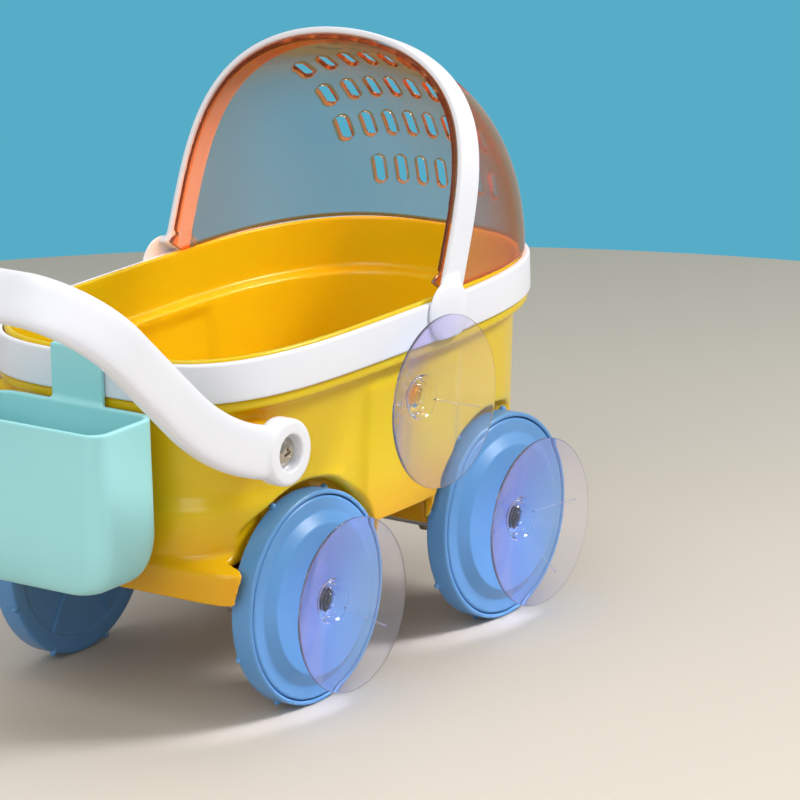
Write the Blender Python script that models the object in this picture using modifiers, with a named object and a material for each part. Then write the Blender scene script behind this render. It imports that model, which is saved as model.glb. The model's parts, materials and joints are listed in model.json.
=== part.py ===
"""Doll stroller: a tub on four wheels with a rim band, a vented hood, a push handle and suction cups.

All sizes below are in millimetres and are turned into metres when a mesh is made. The design axes are
+X towards the hood end, +Y away from the suction cups and +Z up, with the floor at Z = 0. The design
centre lies midway between the four wheels; the frame empty then shifts it so that the world origin is
under the middle of the finished object's bounding box.
"""
import math

import bmesh
import bpy
from mathutils import Matrix, Vector

MM = 0.001
GAP = 0.3                      # clearance kept between neighbouring pieces

# Whole object: design centre to the middle of the bounding box
CENTRE_X = -34.0
CENTRE_Y = -2.2

# Tub planform (superellipse) and wall
TUB_LENGTH_HALF = 86.8         # outer face of the rim wall at the handle end
TUB_POWER = 3.72
HOOD_END_LENGTH = 84.0         # the same at the rounder hood end
HOOD_END_POWER = 3.0
TUB_WIDTH_HALF = 49.6          # outer face of the rim wall at the sides
RIM_WALL = 1.6
WALL = 2.0
RIM_TOP = 105.6
LIP_TOP = 93.4
LIP_BOTTOM = 90.7
LIP_OUT = 1.4
WALL_TOP = 89.2
WALL_IN = 2.4
DRAFT = 0.0957                 # inward lean of the wall for each unit of height
HOOD_END_DRAFT = 0.045
FLOOR_TOP = 49.3
FLOOR_BOTTOM = 47.3
PLAN_POINTS = 48

# Skirt and fender bulge at both ends
SKIRT_BOTTOM = 36.7
SKIRT_LENGTH_HALF = 82.5
SKIRT_WIDTH_HALF = 48.0
SKIRT_POWER = 12.0
HOOD_SKIRT_LENGTH = 79.4
HOOD_SKIRT_POWER = 6.0
BELLY_BOTTOM = 44.5            # lower edge of the side between the wheel arches
BULGE_OUT = 2.2
BULGE_TOP = 66.5

# Raised side panel
PANEL_X0 = -23.5
PANEL_X1 = 26.8
PANEL_TOP = 88.5
PANEL_OUT = 1.3

# Rim band
BAND_BOTTOM = 93.8
BAND_TOP = 105.2
BAND_OUT = 2.3                 # outer face, measured out from the rim wall
BAND_IN = 0.3
BAND_EDGE = 0.7

# Hood and its arch: both spring from a line across the tub, and the arch leans forward
HOOD_X = 15.8
HOOD_Z = 105.7
ARCH_LEAN = math.radians(20.67)
ARCH_HALF = 51.2
ARCH_HEIGHT = 71.4
ARCH_SIDE_POWER = 0.96
ARCH_RISE_POWER = 0.505
ARCH_WIDTH = 9.4
ARCH_THICK = 2.0
HOOD_WALL = 1.5
HOOD_TRIM = 105.9              # level edge of the hood, just above the rim
HOOD_OPEN = 35.0               # swing of the opened hood, which its front lower corners must clear
FOOT_ANGLE = 0.006
FOOT_PAD = 6.6                 # round pad on the hood's inner face at each foot
HOOD_BASE_LENGTH = 68.0
HOOD_BASE_POWER = 0.672
VENT_ROWS = ((13.6, 3), (27.4, 4), (40.2, 4), (53.7, 4))   # angle above level, vents each side of centre
VENT_PITCH = 7.1
VENT_LENGTH = 8.0
VENT_WIDTH = 3.2

# Hood pivot, on the arch's own centre line
PIVOT_DROP = 4.7
LUG_RADIUS = 9.3
LUG_SHIFT = -2.4               # the lug's centre from the pin, towards the handle
LUG_IN = 52.2
LUG_OUT = 54.0
PIN_RADIUS = 2.4

# Handle
HANDLE_X = -66.6
HANDLE_Z = 79.4
HANDLE_IN = 48.5
HANDLE_OUT = 54.5
HANDLE_WIDE = 15.0
BOSS_RADIUS = 9.5
ARM_START_ANGLE = 14.0
ARM_END_ANGLE = 43.5
ARM_BEND = 80.0
ARM_STRAIGHT = 54.8
HANDLE_CORNER = 22.0
POST_RADIUS = 7.3
SCREW_HEAD = 4.1
SCREW_RECESS = 5.2
RECESS_DEPTH = 2.3
SHANK_RADIUS = 1.9
BUSH_RADIUS = 3.0

# Wheels
WHEEL_BASE_HALF = 46.0
WHEEL_RADIUS = 30.75
WHEEL_FACE = 46.74             # front plane of the wheel's outer ring
WHEEL_BACK = 39.7
DISC_FACE = 49.2               # front plane of the raised central disc
ARCH_WELL = 33.2
WELL_BACK = 37.5
SKIRT_WELL = 35.0              # the wells are a little wider through the skirt
AXLE_RADIUS = 2.0
AXLE_END = 44.4
HUB_RADIUS = 6.0
NUB_COUNT = 8
NUB_PHASE = {"near_handle": 21.5, "near_hood": 30.0, "far_handle": 20.0, "far_hood": 26.0}

# Suction cups
CUP_RADIUS = 25.0
CUP_RIM = 59.1
CUP_X = 0.0
CUP_Z = 78.6
PANEL_FACE = 48.0
SOCKET_RADIUS = 3.5
NECK_RADIUS = 3.1

# Chassis
CHASSIS_HALF = 37.2
CHASSIS_BOTTOM = 33.1
CHASSIS_MID = 44.8
CHASSIS_TOP = 47.0
CHASSIS_EDGE = 43.4            # top of the tray's ends, below the step in the skirt
CHASSIS_X0 = -78.5
CHASSIS_X1 = 70.6
HOUSING_X0 = 20.0
BRACKET_BOTTOM = 26.0

# Hanging caddy at the handle end
CADDY_HALF = 28.5
CADDY_X0 = -117.0
CADDY_X1 = -90.6
CADDY_TOP = 92.0
CADDY_BOTTOM = 43.5
CADDY_WALL = 1.8

COLOURS = {
    "yellow": ((0.86, 0.53, 0.03, 1.0), 0.28, 0.0),
    "white": ((0.86, 0.87, 0.90, 1.0), 0.35, 0.0),
    "orange_clear": ((0.90, 0.28, 0.06, 0.6), 0.12, 0.0),
    "blue": ((0.10, 0.30, 0.66, 1.0), 0.38, 0.0),
    "mint": ((0.35, 0.72, 0.72, 1.0), 0.40, 0.0),
    "clear": ((0.72, 0.70, 0.92, 0.35), 0.08, 0.0),
    "steel": ((0.62, 0.60, 0.56, 1.0), 0.22, 1.0),
    "grey": ((0.55, 0.56, 0.58, 1.0), 0.45, 0.0),
}


# ---------------------------------------------------------------- scene helpers

def clear_scene():
    for obj in list(bpy.data.objects):
        bpy.data.objects.remove(obj, do_unlink=True)


def new_collection(name):
    collection = bpy.data.collections.new(name)
    bpy.context.scene.collection.children.link(collection)
    return collection


def make_material(name, key):
    colour, roughness, metallic = COLOURS[key]
    material = bpy.data.materials.new(name)
    material.use_nodes = True
    shader = material.node_tree.nodes["Principled BSDF"]
    shader.inputs["Base Color"].default_value = colour
    shader.inputs["Roughness"].default_value = roughness
    shader.inputs["Metallic"].default_value = metallic
    return material


def add_empty(name, location, parent=None):
    empty = bpy.data.objects.new(name, None)
    empty.location = Vector(location) * MM
    empty.parent = parent
    PARTS.objects.link(empty)
    return empty


def add_part(name, bm, key, parent, location=(0, 0, 0), rotation=(0, 0, 0)):
    """A visible sub-part from a bmesh in millimetres, with its own material."""
    obj = mesh_object(name, bm, parent, location, rotation)
    obj.data.materials.append(make_material(name, key))
    obj.data.shade_smooth()
    obj.data.set_sharp_from_angle(angle=math.radians(35))
    PARTS.objects.link(obj)
    return obj


def add_cutter(name, bm, parent, location=(0, 0, 0), rotation=(0, 0, 0)):
    obj = mesh_object(name, bm, parent, location, rotation)
    obj.hide_render = True
    obj.display_type = "WIRE"
    CUTTERS.objects.link(obj)
    return obj


def mesh_object(name, bm, parent, location, rotation):
    bmesh.ops.scale(bm, vec=(MM, MM, MM), verts=bm.verts)
    bmesh.ops.recalc_face_normals(bm, faces=bm.faces)
    mesh = bpy.data.meshes.new(name)
    bm.to_mesh(mesh)
    bm.free()
    obj = bpy.data.objects.new(name, mesh)
    obj.parent = parent
    obj.location = Vector(location) * MM
    obj.rotation_euler = rotation
    return obj


def boolean(obj, other, operation, self_overlap=False):
    modifier = obj.modifiers.new(operation.lower(), "BOOLEAN")
    modifier.operation = operation
    modifier.object = other
    modifier.solver = "EXACT"
    modifier.use_self = self_overlap


def bevel(obj, width, segments=2):
    modifier = obj.modifiers.new("rounded_edges", "BEVEL")
    modifier.width = width * MM
    modifier.segments = segments
    modifier.limit_method = "ANGLE"
    modifier.angle_limit = math.radians(40)


# ---------------------------------------------------------------- shape helpers

def smooth(value):
    value = min(1.0, max(0.0, value))
    return value * value * (3.0 - 2.0 * value)


def signed_power(value, power):
    return math.copysign(abs(value) ** power, value)


def box_mesh(low, high):
    bm = bmesh.new()
    size = [high[i] - low[i] for i in range(3)]
    centre = [(high[i] + low[i]) / 2 for i in range(3)]
    matrix = Matrix.Translation(centre) @ Matrix.Diagonal((*size, 1.0))
    bmesh.ops.create_cube(bm, size=1.0, matrix=matrix)
    return bm


def rod_mesh(radius, start, end, segments=32):
    """A cylinder along Z from one height to another."""
    bm = bmesh.new()
    bmesh.ops.create_cone(bm, cap_ends=True, segments=segments, radius1=radius, radius2=radius,
                          depth=end - start, matrix=Matrix.Translation((0, 0, (start + end) / 2)))
    return bm


def loft(rings, closed=False):
    """A skin through rings of points; the ends are capped unless the rings close on themselves."""
    bm = bmesh.new()
    rows = [[bm.verts.new(point) for point in ring] for ring in rings]
    count = len(rows[0])
    pairs = list(zip(rows, rows[1:]))
    if closed:
        pairs.append((rows[-1], rows[0]))
    for low, high in pairs:
        for i in range(count):
            j = (i + 1) % count
            bm.faces.new((low[i], low[j], high[j], high[i]))
    if not closed:
        bm.faces.new(rows[0])
        bm.faces.new(rows[-1])
    return bm


def turned_mesh(profile, segments):
    """A solid of revolution about Z; points on the axis close it, otherwise it is a ring."""
    bm = bmesh.new()
    on_axis = profile[0][0] == 0 and profile[-1][0] == 0
    points = profile[1:-1] if on_axis else profile
    rows = []
    for i in range(segments):
        angle = 2 * math.pi * i / segments
        spin = (math.cos(angle), math.sin(angle))
        rows.append([bm.verts.new((r * spin[0], r * spin[1], h)) for r, h in points])
    ends = [bm.verts.new((0, 0, profile[k][1])) for k in (0, -1)] if on_axis else []
    for i in range(segments):
        here, there = rows[i], rows[(i + 1) % segments]
        last = len(points) - 1 if on_axis else len(points)
        for k in range(last):
            m = (k + 1) % len(points)
            bm.faces.new((here[k], here[m], there[m], there[k]))
        if on_axis:
            bm.faces.new((ends[0], here[0], there[0]))
            bm.faces.new((here[-1], ends[1], there[-1]))
    return bm


def face_out(side):
    """Rotation that points a turned piece's Z outwards, on the -Y side or the +Y side."""
    return (math.radians(-90 * side), 0, 0)


# ---------------------------------------------------------------- tub

def plan_point(angle, length_half, width_half, power):
    c, s = math.cos(angle), math.sin(angle)
    reach = (abs(c) ** power + abs(s) ** power) ** (-1.0 / power)
    return length_half * c * reach, width_half * s * reach


def tub_plan(angle, grow):
    """The tub's outline moved out by a distance; the hood end is shorter and rounder."""
    if math.cos(angle) > 0:
        return plan_point(angle, HOOD_END_LENGTH + grow, TUB_WIDTH_HALF + grow, HOOD_END_POWER)
    return plan_point(angle, TUB_LENGTH_HALF + grow, TUB_WIDTH_HALF + grow, TUB_POWER)


def plan_angles():
    for i in range(PLAN_POINTS):
        yield 2 * math.pi * (i + 0.5) / PLAN_POINTS


def wall_offset(z):
    """How far the tub's outer face stands out from the rim wall at height z."""
    if z >= LIP_TOP:
        return 0.0
    if z >= LIP_BOTTOM:
        return LIP_OUT
    if z > WALL_TOP:
        return -WALL_IN + (LIP_OUT + WALL_IN) * ((z - WALL_TOP) / (LIP_BOTTOM - WALL_TOP)) ** 2
    return -WALL_IN - (WALL_TOP - z) * DRAFT


def panel_offset(x, z):
    across = smooth((x - PANEL_X0) / 5) * smooth((PANEL_X1 - x) / 5)
    return PANEL_OUT * across * smooth((PANEL_TOP - z) / 5)


def end_offset(x, z):
    """The fender bulge at the handle end, and the steeper wall at the hood end."""
    if x < 0:
        return BULGE_OUT * smooth((BULGE_TOP - z) / 6) * smooth((-x - 27) / 12)
    return max(0.0, WALL_TOP - z) * (DRAFT - HOOD_END_DRAFT) * smooth((x - 27) / 30)


def tub_ring(z, inset=0.0, lip=True, roof=0.0):
    """One level of the tub's skin, moved in by the inset; roof keeps material over a hollow's steps."""
    offset = wall_offset(z) if lip else min(0.0, wall_offset(z))
    ring = []
    for angle in plan_angles():
        x, _ = tub_plan(angle, offset)
        x, y = tub_plan(angle, offset + end_offset(x, z) - inset)
        if abs(y) > 0.6 * TUB_WIDTH_HALF:
            y += math.copysign(panel_offset(x, z), y)
        ring.append((*skirt_point(angle, x, y, z + roof, inset), z))
    return ring


def skirt_point(angle, x, y, z, inset):
    """Below the step line the ends change to a wide, nearly square skirt."""
    share = smooth((FLOOR_BOTTOM + 1.0 - z) / 2.5) * smooth((abs(x) - 40) / 25)
    length, power = (HOOD_SKIRT_LENGTH, HOOD_SKIRT_POWER) if x > 0 else (SKIRT_LENGTH_HALF, SKIRT_POWER)
    wide_x, wide_y = plan_point(angle, length - inset, SKIRT_WIDTH_HALF - inset, power)
    return x + (wide_x - x) * share, y + (wide_y - y) * share


def wheel_well(name, side, end, radius, back):
    """A cutter for one wheel's pocket."""
    bm = rod_mesh(radius, back, 75, 40)
    place = (end * WHEEL_BASE_HALF, 0, WHEEL_RADIUS)
    return add_cutter(name, bm, FRAME, place, face_out(side))


def make_tub():
    levels = [SKIRT_BOTTOM, 46.0, 48.3, 60, 63.5, 66.5, 83.5, 86, 88.5, WALL_TOP,
              LIP_BOTTOM, LIP_TOP - 0.01, LIP_TOP, RIM_TOP]
    tub = add_part("tub_shell", loft([tub_ring(z) for z in levels]), "yellow", FRAME)

    inside_levels = [FLOOR_TOP, 60, 63.5, 66.5, 83.5, 86, 88.5, LIP_BOTTOM, RIM_TOP + 2]
    rings = [tub_ring(z, WALL if z < LIP_BOTTOM else RIM_WALL, lip=False) for z in inside_levels]
    inside = add_cutter("tub_inside", loft(rings), FRAME)

    under_levels = [SKIRT_BOTTOM - 3, 44.0, 45.2, 46.3, FLOOR_BOTTOM]
    under = loft([tub_ring(z, WALL + 0.2, roof=WALL) for z in under_levels])
    under = add_cutter("tub_underside", under, FRAME)

    belly = box_mesh((-13.5, -70, SKIRT_BOTTOM - 5), (13.5, 70, BELLY_BOTTOM))
    belly = add_cutter("belly_line", belly, FRAME)

    for side in (-1, 1):
        for end in (-1, 1):
            tag = f"{'near' if side < 0 else 'far'}_{'handle' if end < 0 else 'hood'}"
            boolean(tub, wheel_well(f"well_{tag}", side, end, ARCH_WELL, WELL_BACK), "DIFFERENCE")
            skirt_well = wheel_well(f"skirt_well_{tag}", side, end, SKIRT_WELL, WELL_BACK)
            above = box_mesh((-100, -80, FLOOR_BOTTOM - 1), (100, 80, 100))
            boolean(skirt_well, add_cutter(f"skirt_well_top_{tag}", above, FRAME), "DIFFERENCE")
            boolean(tub, skirt_well, "DIFFERENCE")
            boolean(inside, wheel_well(f"well_skin_{tag}", side, end, ARCH_WELL + WALL,
                                       WELL_BACK - WALL), "DIFFERENCE")
        post = rod_mesh(POST_RADIUS, 30, HANDLE_IN - GAP, 20)
        post = add_cutter(f"handle_post_{side}", post, FRAME, (HANDLE_X, 0, HANDLE_Z), face_out(side))
        boolean(tub, post, "UNION")
    boolean(tub, under, "DIFFERENCE")
    boolean(tub, inside, "DIFFERENCE")
    boolean(tub, belly, "DIFFERENCE")
    for side in (-1, 1):
        bore = rod_mesh(SHANK_RADIUS + GAP, HANDLE_IN - 6.5, HANDLE_IN + 5, 14)
        bore = add_cutter(f"post_bore_{side}", bore, FRAME, (HANDLE_X, 0, HANDLE_Z), face_out(side))
        boolean(tub, bore, "DIFFERENCE")
    socket = rod_mesh(SOCKET_RADIUS, 40, 55, 20)
    socket = add_cutter("side_cup_socket", socket, FRAME, (CUP_X, 0, CUP_Z), face_out(-1))
    boolean(tub, socket, "DIFFERENCE")
    return tub


def make_band():
    """The white ring that snaps over the tub's rim, with a hole at each side for the hood pin."""
    soft = BAND_OUT - BAND_EDGE
    section = [(BAND_IN, BAND_BOTTOM), (soft, BAND_BOTTOM), (BAND_OUT, BAND_BOTTOM + BAND_EDGE),
               (BAND_OUT, BAND_TOP - BAND_EDGE), (soft, BAND_TOP), (BAND_IN, BAND_TOP)]
    rings = [[(*tub_plan(angle, offset), z) for angle in plan_angles()] for offset, z in section]
    band = add_part("rim_band", loft(rings, closed=True), "white", FRAME)
    hole = rod_mesh(PIN_RADIUS + GAP, -60, 60, 16)
    hole = add_cutter("hood_pin_hole", hole, FRAME, PIVOT, face_out(1))
    boolean(band, hole, "DIFFERENCE")
    return band


# ---------------------------------------------------------------- hood

def hood_point(share, angle, inset=0.0):
    """A point on the hood: share runs from the level base (0) to the arch plane (1)."""
    side_power = HOOD_BASE_POWER + (ARCH_SIDE_POWER - HOOD_BASE_POWER) * share
    rise_power = HOOD_BASE_POWER + (ARCH_RISE_POWER - HOOD_BASE_POWER) * share
    top = ARCH_HEIGHT - ARCH_THICK - GAP
    rise = HOOD_BASE_LENGTH + (top - HOOD_BASE_LENGTH) * share - inset
    half = ARCH_HALF - ARCH_THICK - GAP - inset
    y = half * signed_power(math.cos(angle), side_power)
    u = rise * signed_power(math.sin(angle), rise_power)
    tilt = share * (math.pi / 2 - ARCH_LEAN)
    shift = share * ARCH_WIDTH / 2
    return (HOOD_X + u * math.cos(tilt) + shift * math.cos(ARCH_LEAN), y,
            HOOD_Z + u * math.sin(tilt) - shift * math.sin(ARCH_LEAN))


def arch_point(v, angle, inset):
    """A point under the arch: v is the distance across its width, towards the hood's open side."""
    half = ARCH_HALF - inset
    y = half * signed_power(math.cos(angle), ARCH_SIDE_POWER)
    u = (ARCH_HEIGHT - inset) * signed_power(math.sin(angle), ARCH_RISE_POWER)
    return (HOOD_X + u * math.sin(ARCH_LEAN) - v * math.cos(ARCH_LEAN), y,
            HOOD_Z + u * math.cos(ARCH_LEAN) + v * math.sin(ARCH_LEAN))


def foot_to_foot(steps):
    """Angles over the hood from one foot to the other, closer together towards the feet."""
    for k in range(steps + 1):
        share = 2 * k / steps - 1
        bow = 1 - (1 - abs(share)) ** 1.7
        yield math.pi / 2 + (math.pi / 2 - FOOT_ANGLE) * math.copysign(bow, share)


def hood_mesh():
    """The hood's shell as one closed skin: outer face out to the front edge, then back inside."""
    shares = [i / 8 for i in range(9)]
    under_arch = [ARCH_WIDTH / 2]
    depth = ARCH_THICK + GAP
    rings = []
    for angle in foot_to_foot(26):
        outer = [hood_point(share, angle) for share in shares]
        outer += [arch_point(v, angle, depth) for v in under_arch]
        inner = [hood_point(share, angle, HOOD_WALL) for share in shares]
        inner += [arch_point(v, angle, depth + HOOD_WALL) for v in under_arch]
        rings.append(outer + inner[::-1])
    return loft(rings)


def vent_mesh():
    """One upright slot with round ends, pointing along +X."""
    bm = bmesh.new()
    half = (VENT_LENGTH - VENT_WIDTH) / 2
    ring = []
    for end in (1, -1):
        for k in range(4):
            angle = math.pi * k / 3 + (0 if end > 0 else math.pi)
            ring.append((VENT_WIDTH / 2 * math.cos(angle), end * half + VENT_WIDTH / 2 * math.sin(angle)))
    rows = [[bm.verts.new((x, y, z)) for y, z in ring] for x in (40, 85)]
    count = len(ring)
    for i in range(count):
        j = (i + 1) % count
        bm.faces.new((rows[0][i], rows[0][j], rows[1][j], rows[1][i]))
    bm.faces.new(rows[0])
    bm.faces.new(rows[1])
    return bm


def vent_cutters():
    """All the vents as one cutter: rows that fan out from the hood's springing line."""
    bm = bmesh.new()
    for degrees, reach in VENT_ROWS:
        turn = Matrix.Rotation(-math.radians(degrees), 4, "Y")
        for column in range(-reach, reach + 1):
            place = Matrix.Translation((HOOD_X, column * VENT_PITCH, HOOD_Z)) @ turn
            vent = vent_mesh()
            bmesh.ops.transform(vent, matrix=place, verts=vent.verts)
            part = bpy.data.meshes.new("vent")
            vent.to_mesh(part)
            vent.free()
            bm.from_mesh(part)
            bpy.data.meshes.remove(part)
    return bm


def make_hood():
    body = add_empty("hood_axis", PIVOT, FRAME)
    offset = [-value for value in PIVOT]
    hood = add_part("hood_shell", hood_mesh(), "orange_clear", body, offset)
    reach = LUG_IN + 0.2
    below = box_mesh((-20, -reach, 60), (110, reach, HOOD_TRIM))
    below = add_cutter("hood_trim", below, body, offset)
    vents = add_cutter("hood_vents", vent_cutters(), body, offset)
    outer = ARCH_HALF - ARCH_THICK - GAP
    for side in (-1, 1):
        pad = rod_mesh(FOOT_PAD, outer - HOOD_WALL - 0.6, outer - 0.15, 20)
        pad = add_cutter(f"hood_pad_{side}", pad, body, (0, 0, 0), face_out(side))
        pad.location = Vector((HOOD_X - PIVOT[0] - 0.5, 0, HOOD_Z - PIVOT[2] - 1.0)) * MM
        boolean(hood, pad, "UNION")
    boolean(hood, below, "DIFFERENCE", self_overlap=True)
    swing = box_mesh((-60, -reach, -40), (20, reach, HOOD_TRIM - PIVOT[2]))
    swing = add_cutter("hood_swing", swing, body, (0, 0, 0), (0, math.radians(HOOD_OPEN), 0))
    boolean(hood, swing, "DIFFERENCE")
    boolean(hood, vents, "DIFFERENCE")

    arch = add_part("hood_arch", arch_mesh(), "white", body, offset)
    for side in (-1, 1):
        boolean(arch, add_cutter(f"arch_foot_{side}", foot_mesh(side), body, offset), "UNION")
    boolean(arch, below, "DIFFERENCE")
    boolean(arch, swing, "DIFFERENCE")
    for side in (-1, 1):
        outline = [(0, LUG_OUT), (LUG_RADIUS * 0.5, LUG_OUT - 0.05), (LUG_RADIUS * 0.82, LUG_OUT - 0.5)]
        disc = turned_mesh(outline + [(LUG_RADIUS, LUG_IN + 0.5), (LUG_RADIUS, LUG_IN), (0, LUG_IN)], 24)
        disc = add_cutter(f"arch_lug_{side}", disc, body, (LUG_SHIFT, 0, 0), face_out(side))
        boolean(arch, disc, "UNION")
    lug_end = add_cutter("lug_end", box_mesh((-20, -70, 60), (60, 70, BAND_BOTTOM + 0.2)), body, offset)
    boolean(arch, lug_end, "DIFFERENCE")
    for side in (-1, 1):
        bore = rod_mesh(PIN_RADIUS + GAP, LUG_IN - 5, LUG_IN + 1.1, 16)
        bore = add_cutter(f"lug_bore_{side}", bore, body, (0, 0, 0), face_out(side))
        boolean(arch, bore, "DIFFERENCE")
    return body


def arch_mesh():
    """The arch: a flat strip bent over the hood, straight down at each foot."""
    half = ARCH_HALF - ARCH_THICK / 2
    height = ARCH_HEIGHT - ARCH_THICK / 2
    near_foot = [(half, u, (1.0, 0.0)) for u in (-2.5, 8.4)]
    bend = []
    steps = 28
    for k in range(1, steps):
        angle = 0.018 + (math.pi - 0.036) * k / steps
        y = half * signed_power(math.cos(angle), ARCH_SIDE_POWER)
        u = height * math.sin(angle) ** ARCH_RISE_POWER
        if u > 13.0:
            bend.append((y, u, None))
    far_foot = [(-y, u, (-1.0, 0.0)) for y, u, _ in near_foot[::-1]]
    stations = near_foot + bend + far_foot
    rings = []
    for i, (y, u, out) in enumerate(stations):
        if out is None:
            ahead, behind = stations[i + 1], stations[i - 1]
            run = Vector((ahead[0] - behind[0], ahead[1] - behind[1])).normalized()
            out = (run[1], -run[0])
        rings.append(strip_ring(y, u, out, ARCH_WIDTH, ARCH_THICK))
    return loft(rings)


def foot_mesh(side):
    """A web that carries the arch's foot outwards, over the band, to its round lug."""
    rings = []
    for z, x0, x1, out in ((106.1, 8.2, 19.0, 53.4), (107.4, 8.7, 19.2, 53.0), (109.2, 10.6, 19.4, 52.2),
                           (112.0, 13.6, 20.0, 51.0)):
        rings.append([(x0, side * 50.0, z), (x1, side * 50.0, z), (x1 - 0.8, side * out, z),
                      (x0 + 0.8, side * out, z)])
    return loft(rings)


def strip_ring(y, u, out, wide, thick):
    """The strip's section: a flat bar with softened edges, at one place along the arch."""
    edge = 0.6
    corners = [(-wide / 2, -thick / 2 + edge), (-wide / 2 + edge, -thick / 2), (wide / 2 - edge, -thick / 2),
               (wide / 2, -thick / 2 + edge), (wide / 2, thick / 2 - edge), (wide / 2 - edge, thick / 2),
               (-wide / 2 + edge, thick / 2), (-wide / 2, thick / 2 - edge)]
    ring = []
    for v, w in corners:
        py, pu = y + out[0] * w, u + out[1] * w
        ring.append((HOOD_X + pu * math.sin(ARCH_LEAN) - v * math.cos(ARCH_LEAN), py,
                     HOOD_Z + pu * math.cos(ARCH_LEAN) + v * math.sin(ARCH_LEAN)))
    return ring


def make_hood_pins():
    for side, name in ((-1, "hood_pin_near"), (1, "hood_pin_far")):
        pin = turned_mesh([(0, LUG_IN + 0.8), (PIN_RADIUS, LUG_IN + 0.8), (PIN_RADIUS, TUB_WIDTH_HALF + GAP),
                           (0, TUB_WIDTH_HALF + GAP)], 16)
        add_part(name, pin, "grey", FRAME, PIVOT, face_out(side))


# ---------------------------------------------------------------- handle

def arm_path():
    """The handle's centre line in its side view, from the pivot to the start of the top corner."""
    points = [(0.0, 0.0), (-6.0, 1.2)]
    x, z = points[-1]
    steps = 6
    span = math.radians(ARM_END_ANGLE - ARM_START_ANGLE)
    for k in range(steps):
        angle = math.radians(ARM_START_ANGLE) + span * (k + 0.5) / steps
        x -= ARM_BEND * span / steps * math.cos(angle)
        z += ARM_BEND * span / steps * math.sin(angle)
        points.append((x, z))
    return points


def handle_stations():
    """Centre, run and outward direction of the bar, from one boss to the corner of the crossbar."""
    mid = (HANDLE_IN + HANDLE_OUT) / 2
    rise = math.radians(ARM_END_ANGLE)
    along = Vector((-math.cos(rise), 0, math.sin(rise)))
    out = Vector((0, -1, 0))
    path = arm_path()
    for i, (x, z) in enumerate(path):
        ahead = path[min(i + 1, len(path) - 1)]
        behind = path[max(i - 1, 0)]
        run = Vector((ahead[0] - behind[0], 0, ahead[1] - behind[1])).normalized()
        yield Vector((x, -mid, z)), run, out
    top = Vector((path[-1][0], -mid, path[-1][1])) + along * (ARM_STRAIGHT - HANDLE_CORNER)
    steps = 5
    for k in range(steps + 1):
        angle = math.pi / 2 * k / steps
        place = top + along * HANDLE_CORNER * math.sin(angle)
        place.y += HANDLE_CORNER * (1 - math.cos(angle))
        yield (place, along * math.cos(angle) - out * math.sin(angle),
               along * math.sin(angle) + out * math.cos(angle))


def bar_ring(place, run, out):
    """A softly rounded flat bar section."""
    wide = out.cross(run).normalized()
    points = 10
    ring = []
    for i in range(points):
        angle = 2 * math.pi * (i + 0.5) / points
        a = signed_power(math.cos(angle), 0.5) * HANDLE_WIDE / 2
        b = signed_power(math.sin(angle), 0.5) * (HANDLE_OUT - HANDLE_IN) / 2
        ring.append(tuple(place + wide * a + out * b))
    return ring


def handle_mesh():
    rings = [bar_ring(*station) for station in handle_stations()]
    mirrored = [[(x, -y, z) for x, y, z in ring] for ring in rings[::-1]]
    return loft(rings + mirrored)


def make_handle():
    body = add_empty("handle_axis", (HANDLE_X, 0, HANDLE_Z), FRAME)
    bar = add_part("push_handle", handle_mesh(), "white", body)
    for side in (-1, 1):
        boss = turned_mesh([(0, HANDLE_OUT), (BOSS_RADIUS - 1.2, HANDLE_OUT), (BOSS_RADIUS, HANDLE_OUT - 1.2),
                            (BOSS_RADIUS, HANDLE_IN), (0, HANDLE_IN)], 24)
        boolean(bar, add_cutter(f"handle_boss_{side}", boss, body, (0, 0, 0), face_out(side)), "UNION")
    seat, hole = HANDLE_OUT - RECESS_DEPTH, BUSH_RADIUS + GAP
    for side in (-1, 1):
        bore = turned_mesh([(0, HANDLE_OUT + 3), (SCREW_RECESS, HANDLE_OUT + 3), (SCREW_RECESS, seat), (hole, seat),
                            (hole, HANDLE_IN - 3), (0, HANDLE_IN - 3)], 18)
        boolean(bar, add_cutter(f"handle_bore_{side}", bore, body, (0, 0, 0), face_out(side)), "DIFFERENCE")
    return body


def make_handle_fixings():
    """A bush and a headed screw hold each end of the handle to the tub's post."""
    seat = HANDLE_OUT - RECESS_DEPTH
    for side, tag in ((-1, "near"), (1, "far")):
        place = (HANDLE_X, 0, HANDLE_Z)
        bore, low, high = SHANK_RADIUS + GAP, HANDLE_IN, seat - GAP
        bush = turned_mesh([(bore, high), (BUSH_RADIUS, high), (BUSH_RADIUS, low), (bore, low)], 14)
        add_part(f"handle_bush_{tag}", bush, "grey", FRAME, place, face_out(side))
        head = seat + GAP
        screw = turned_mesh([(0, head + 1.7), (SCREW_HEAD * 0.55, head + 1.45), (SCREW_HEAD, head + 0.5),
                             (SCREW_HEAD, head), (SHANK_RADIUS, head), (SHANK_RADIUS, HANDLE_IN - 5.6),
                             (0, HANDLE_IN - 6.2)], 16)
        add_part(f"handle_screw_{tag}", screw, "steel", FRAME, place, face_out(side))


# ---------------------------------------------------------------- wheels

def tread_mesh():
    """The wheel's dished back half: rim, web and hub tube, as a ring about its axle."""
    r, back, front = WHEEL_RADIUS, WHEEL_BACK, WHEEL_FACE
    bore = AXLE_RADIUS + GAP
    return turned_mesh([(r - 1.3, front), (r, front - 1.4), (r, back + 1.4), (r - 0.7, back), (HUB_RADIUS, back),
                        (HUB_RADIUS, back - 1.4), (bore, back - 1.4), (bore, back + 2.8),
                        (HUB_RADIUS, back + 2.0), (r - 2.6, back + 2.0), (r - 1.3, front - 2.6)], 24)


def nub_mesh():
    bm = bmesh.new()
    bmesh.ops.create_icosphere(bm, subdivisions=1, radius=1.1)
    bmesh.ops.scale(bm, vec=(1.3, 1.0, 1.0), verts=bm.verts)
    return bm


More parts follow.
